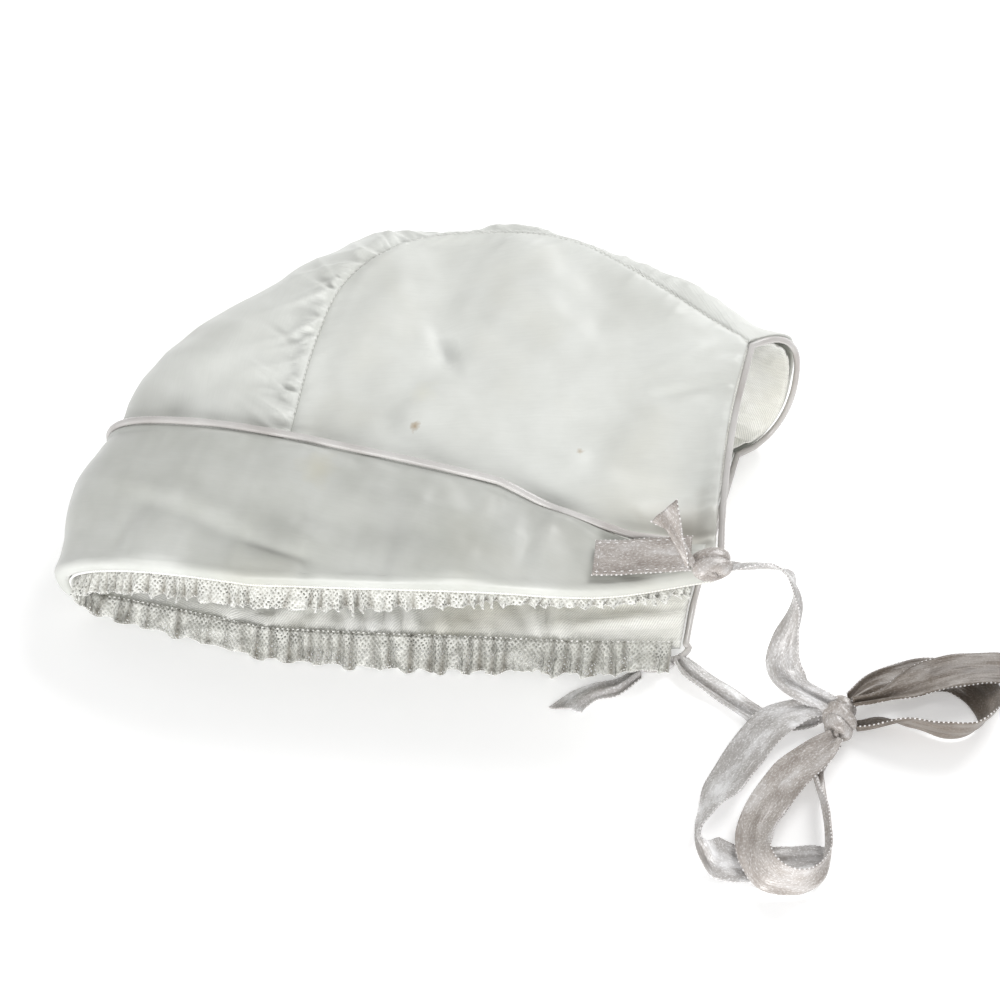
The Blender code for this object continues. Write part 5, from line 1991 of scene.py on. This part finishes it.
# The finishes of this bonnet, with lit and shaded copies that paint light and shade,
# and the spots on its cloth: real stains, painted shade and painted highlights.
# Painted light: a lit copy of the ribbon, paler and with more painted sheen, and a shaded copy, darker, for the
# runs in light and the runs in shade.
RIBBON_PAINTED_LIT = RibbonFinish(base=colour(0.54, 0.525, 0.515), shade=colour(0.30, 0.275, 0.255),
                           light=colour(0.95, 0.95, 0.96), painted_sheen=0.85)
RIBBON_PAINTED_SHADED = RibbonFinish(base=colour(0.18, 0.145, 0.115), shade=colour(0.09, 0.07, 0.055),
                           light=colour(0.38, 0.35, 0.32), roughness=0.36, painted_sheen=0.4)
SIDE_STAINS_AND_PAINTED_LIGHT = (
    # Real stains: a small brown spot and a tick.
    StainOrPaintedLight((-20.9, -13.7, 41.8), 1.5, 1.0), StainOrPaintedLight((19.5, -20.9, 41.0), 1.1, 0.7),
    # A broad brown-grey darkening near the chin corner, by the knot and the puckers.
    StainOrPaintedLight((45.0, -42.6, 37.5), 12.0, 0.6, colour(0.36, 0.32, 0.26)),
    # Painted shade in the dent.
    StainOrPaintedLight((-13.7, 8.8, 46.0), 5.0, 0.4, colour(0.36, 0.37, 0.35)),
    # Painted shade in the hollow beside the hump.
    StainOrPaintedLight((-27.0, -9.0, 42.5), 7.0, 0.2, colour(0.45, 0.46, 0.43)),
    # A painted highlight on the hump.
    StainOrPaintedLight((-19.0, -5.0, 43.5), 4.0, 0.25, colour(0.86, 0.84, 0.66)),
)
CUFF_STAINS_AND_PAINTED_SHADE = (
    # A real faint yellow stain.
    StainOrPaintedLight((-43.9, -25.8, 39.0), 6.0, 0.35, colour(0.56, 0.52, 0.36)),
    # Painted shade: in a crease near the forehead corner, in a broad hollow and over the cuff's right part.
    StainOrPaintedLight((-53.7, -45.0, 34.5), 9.0, 0.3, colour(0.27, 0.27, 0.26)),
    StainOrPaintedLight((-24.0, -44.0, 36.0), 15.0, 0.25, colour(0.29, 0.29, 0.28)),
    StainOrPaintedLight((18.0, -36.0, 38.0), 16.0, 0.4, colour(0.27, 0.27, 0.24)),
)
SATIN = SatinFinish(stains_and_painted_light=SIDE_STAINS_AND_PAINTED_LIGHT)
GATHERED_SATIN = SatinFinish(gather_reach=15.0)
# The cuff's satin is the panels' satin painted darker: painted shade for the cuff, which faces the light less.
CUFF_SATIN_PAINTED_SHADE = SatinFinish(base=colour(0.63, 0.64, 0.61), shade=colour(0.50, 0.51, 0.47),
                         warm=colour(0.58, 0.56, 0.48), roughness=0.38, stains_and_painted_light=CUFF_STAINS_AND_PAINTED_SHADE)
LINING_SATIN = SatinFinish(base=colour(0.97, 0.97, 0.95), shade=colour(0.86, 0.86, 0.80),
                           warm=colour(0.95, 0.90, 0.76), roughness=0.26, twill=0.16)
PIPING_SATIN = SatinFinish(base=colour(0.74, 0.73, 0.715), shade=colour(0.47, 0.44, 0.42),
                           warm=colour(0.62, 0.57, 0.54), roughness=0.17)


def make_seam_stitches(shape: ClothShape, finish: ThreadFinish) -> None:
    """Makes the stitches of the upper seam.

    Args:
        shape: The cloth's shape.
        finish: The thread's finish.
    """
    front = shape.cloth(np.full(200, 1.0), np.linspace(0.3, 1.0, 200))
    back = shape.cloth(1 - np.linspace(0.0, 0.985, 260), np.full(260, 1.0))
    line = even_line(np.vstack([front[:-1], back]), 0.6)
    line[:, 2] += 0.3
    stitches = ThreadRow(1.45, 1.15, 0.34, seed=12).make("seam_stitches", [line], finish.build("seam_thread"))
    carry(stitches)


def main() -> None:
    """Builds the bonnet piece by piece."""
    logging.basicConfig(level=logging.INFO, format="%(message)s")
    PhotoView().make()
    Studio().make()
    shape = ClothShape()
    RibbonTies(shape, RibbonFinish(), RIBBON_PAINTED_LIT, RIBBON_PAINTED_SHADED, ThreadFinish()).make()
    OuterPanels(shape, creases=SIDE_CREASES).make_upper(SATIN)
    OuterPanels(shape, creases=CENTRE_CREASES).make_centre(GATHERED_SATIN)
    OuterPanels(shape).make_lower(SATIN)
    make_seam_stitches(shape, ThreadFinish(colour(0.82, 0.82, 0.79)))
    Lining(shape, creases=LINING_CREASES).make(LINING_SATIN)
    Cuff(shape, creases=CUFF_CREASES).make(CUFF_SATIN_PAINTED_SHADE)
    Pipings(shape).make(PIPING_SATIN)
    LaceRuffle(shape).make(LaceFinish(), ThreadFinish(colour(0.88, 0.88, 0.85)))


if __name__ == "__main__":
    main()
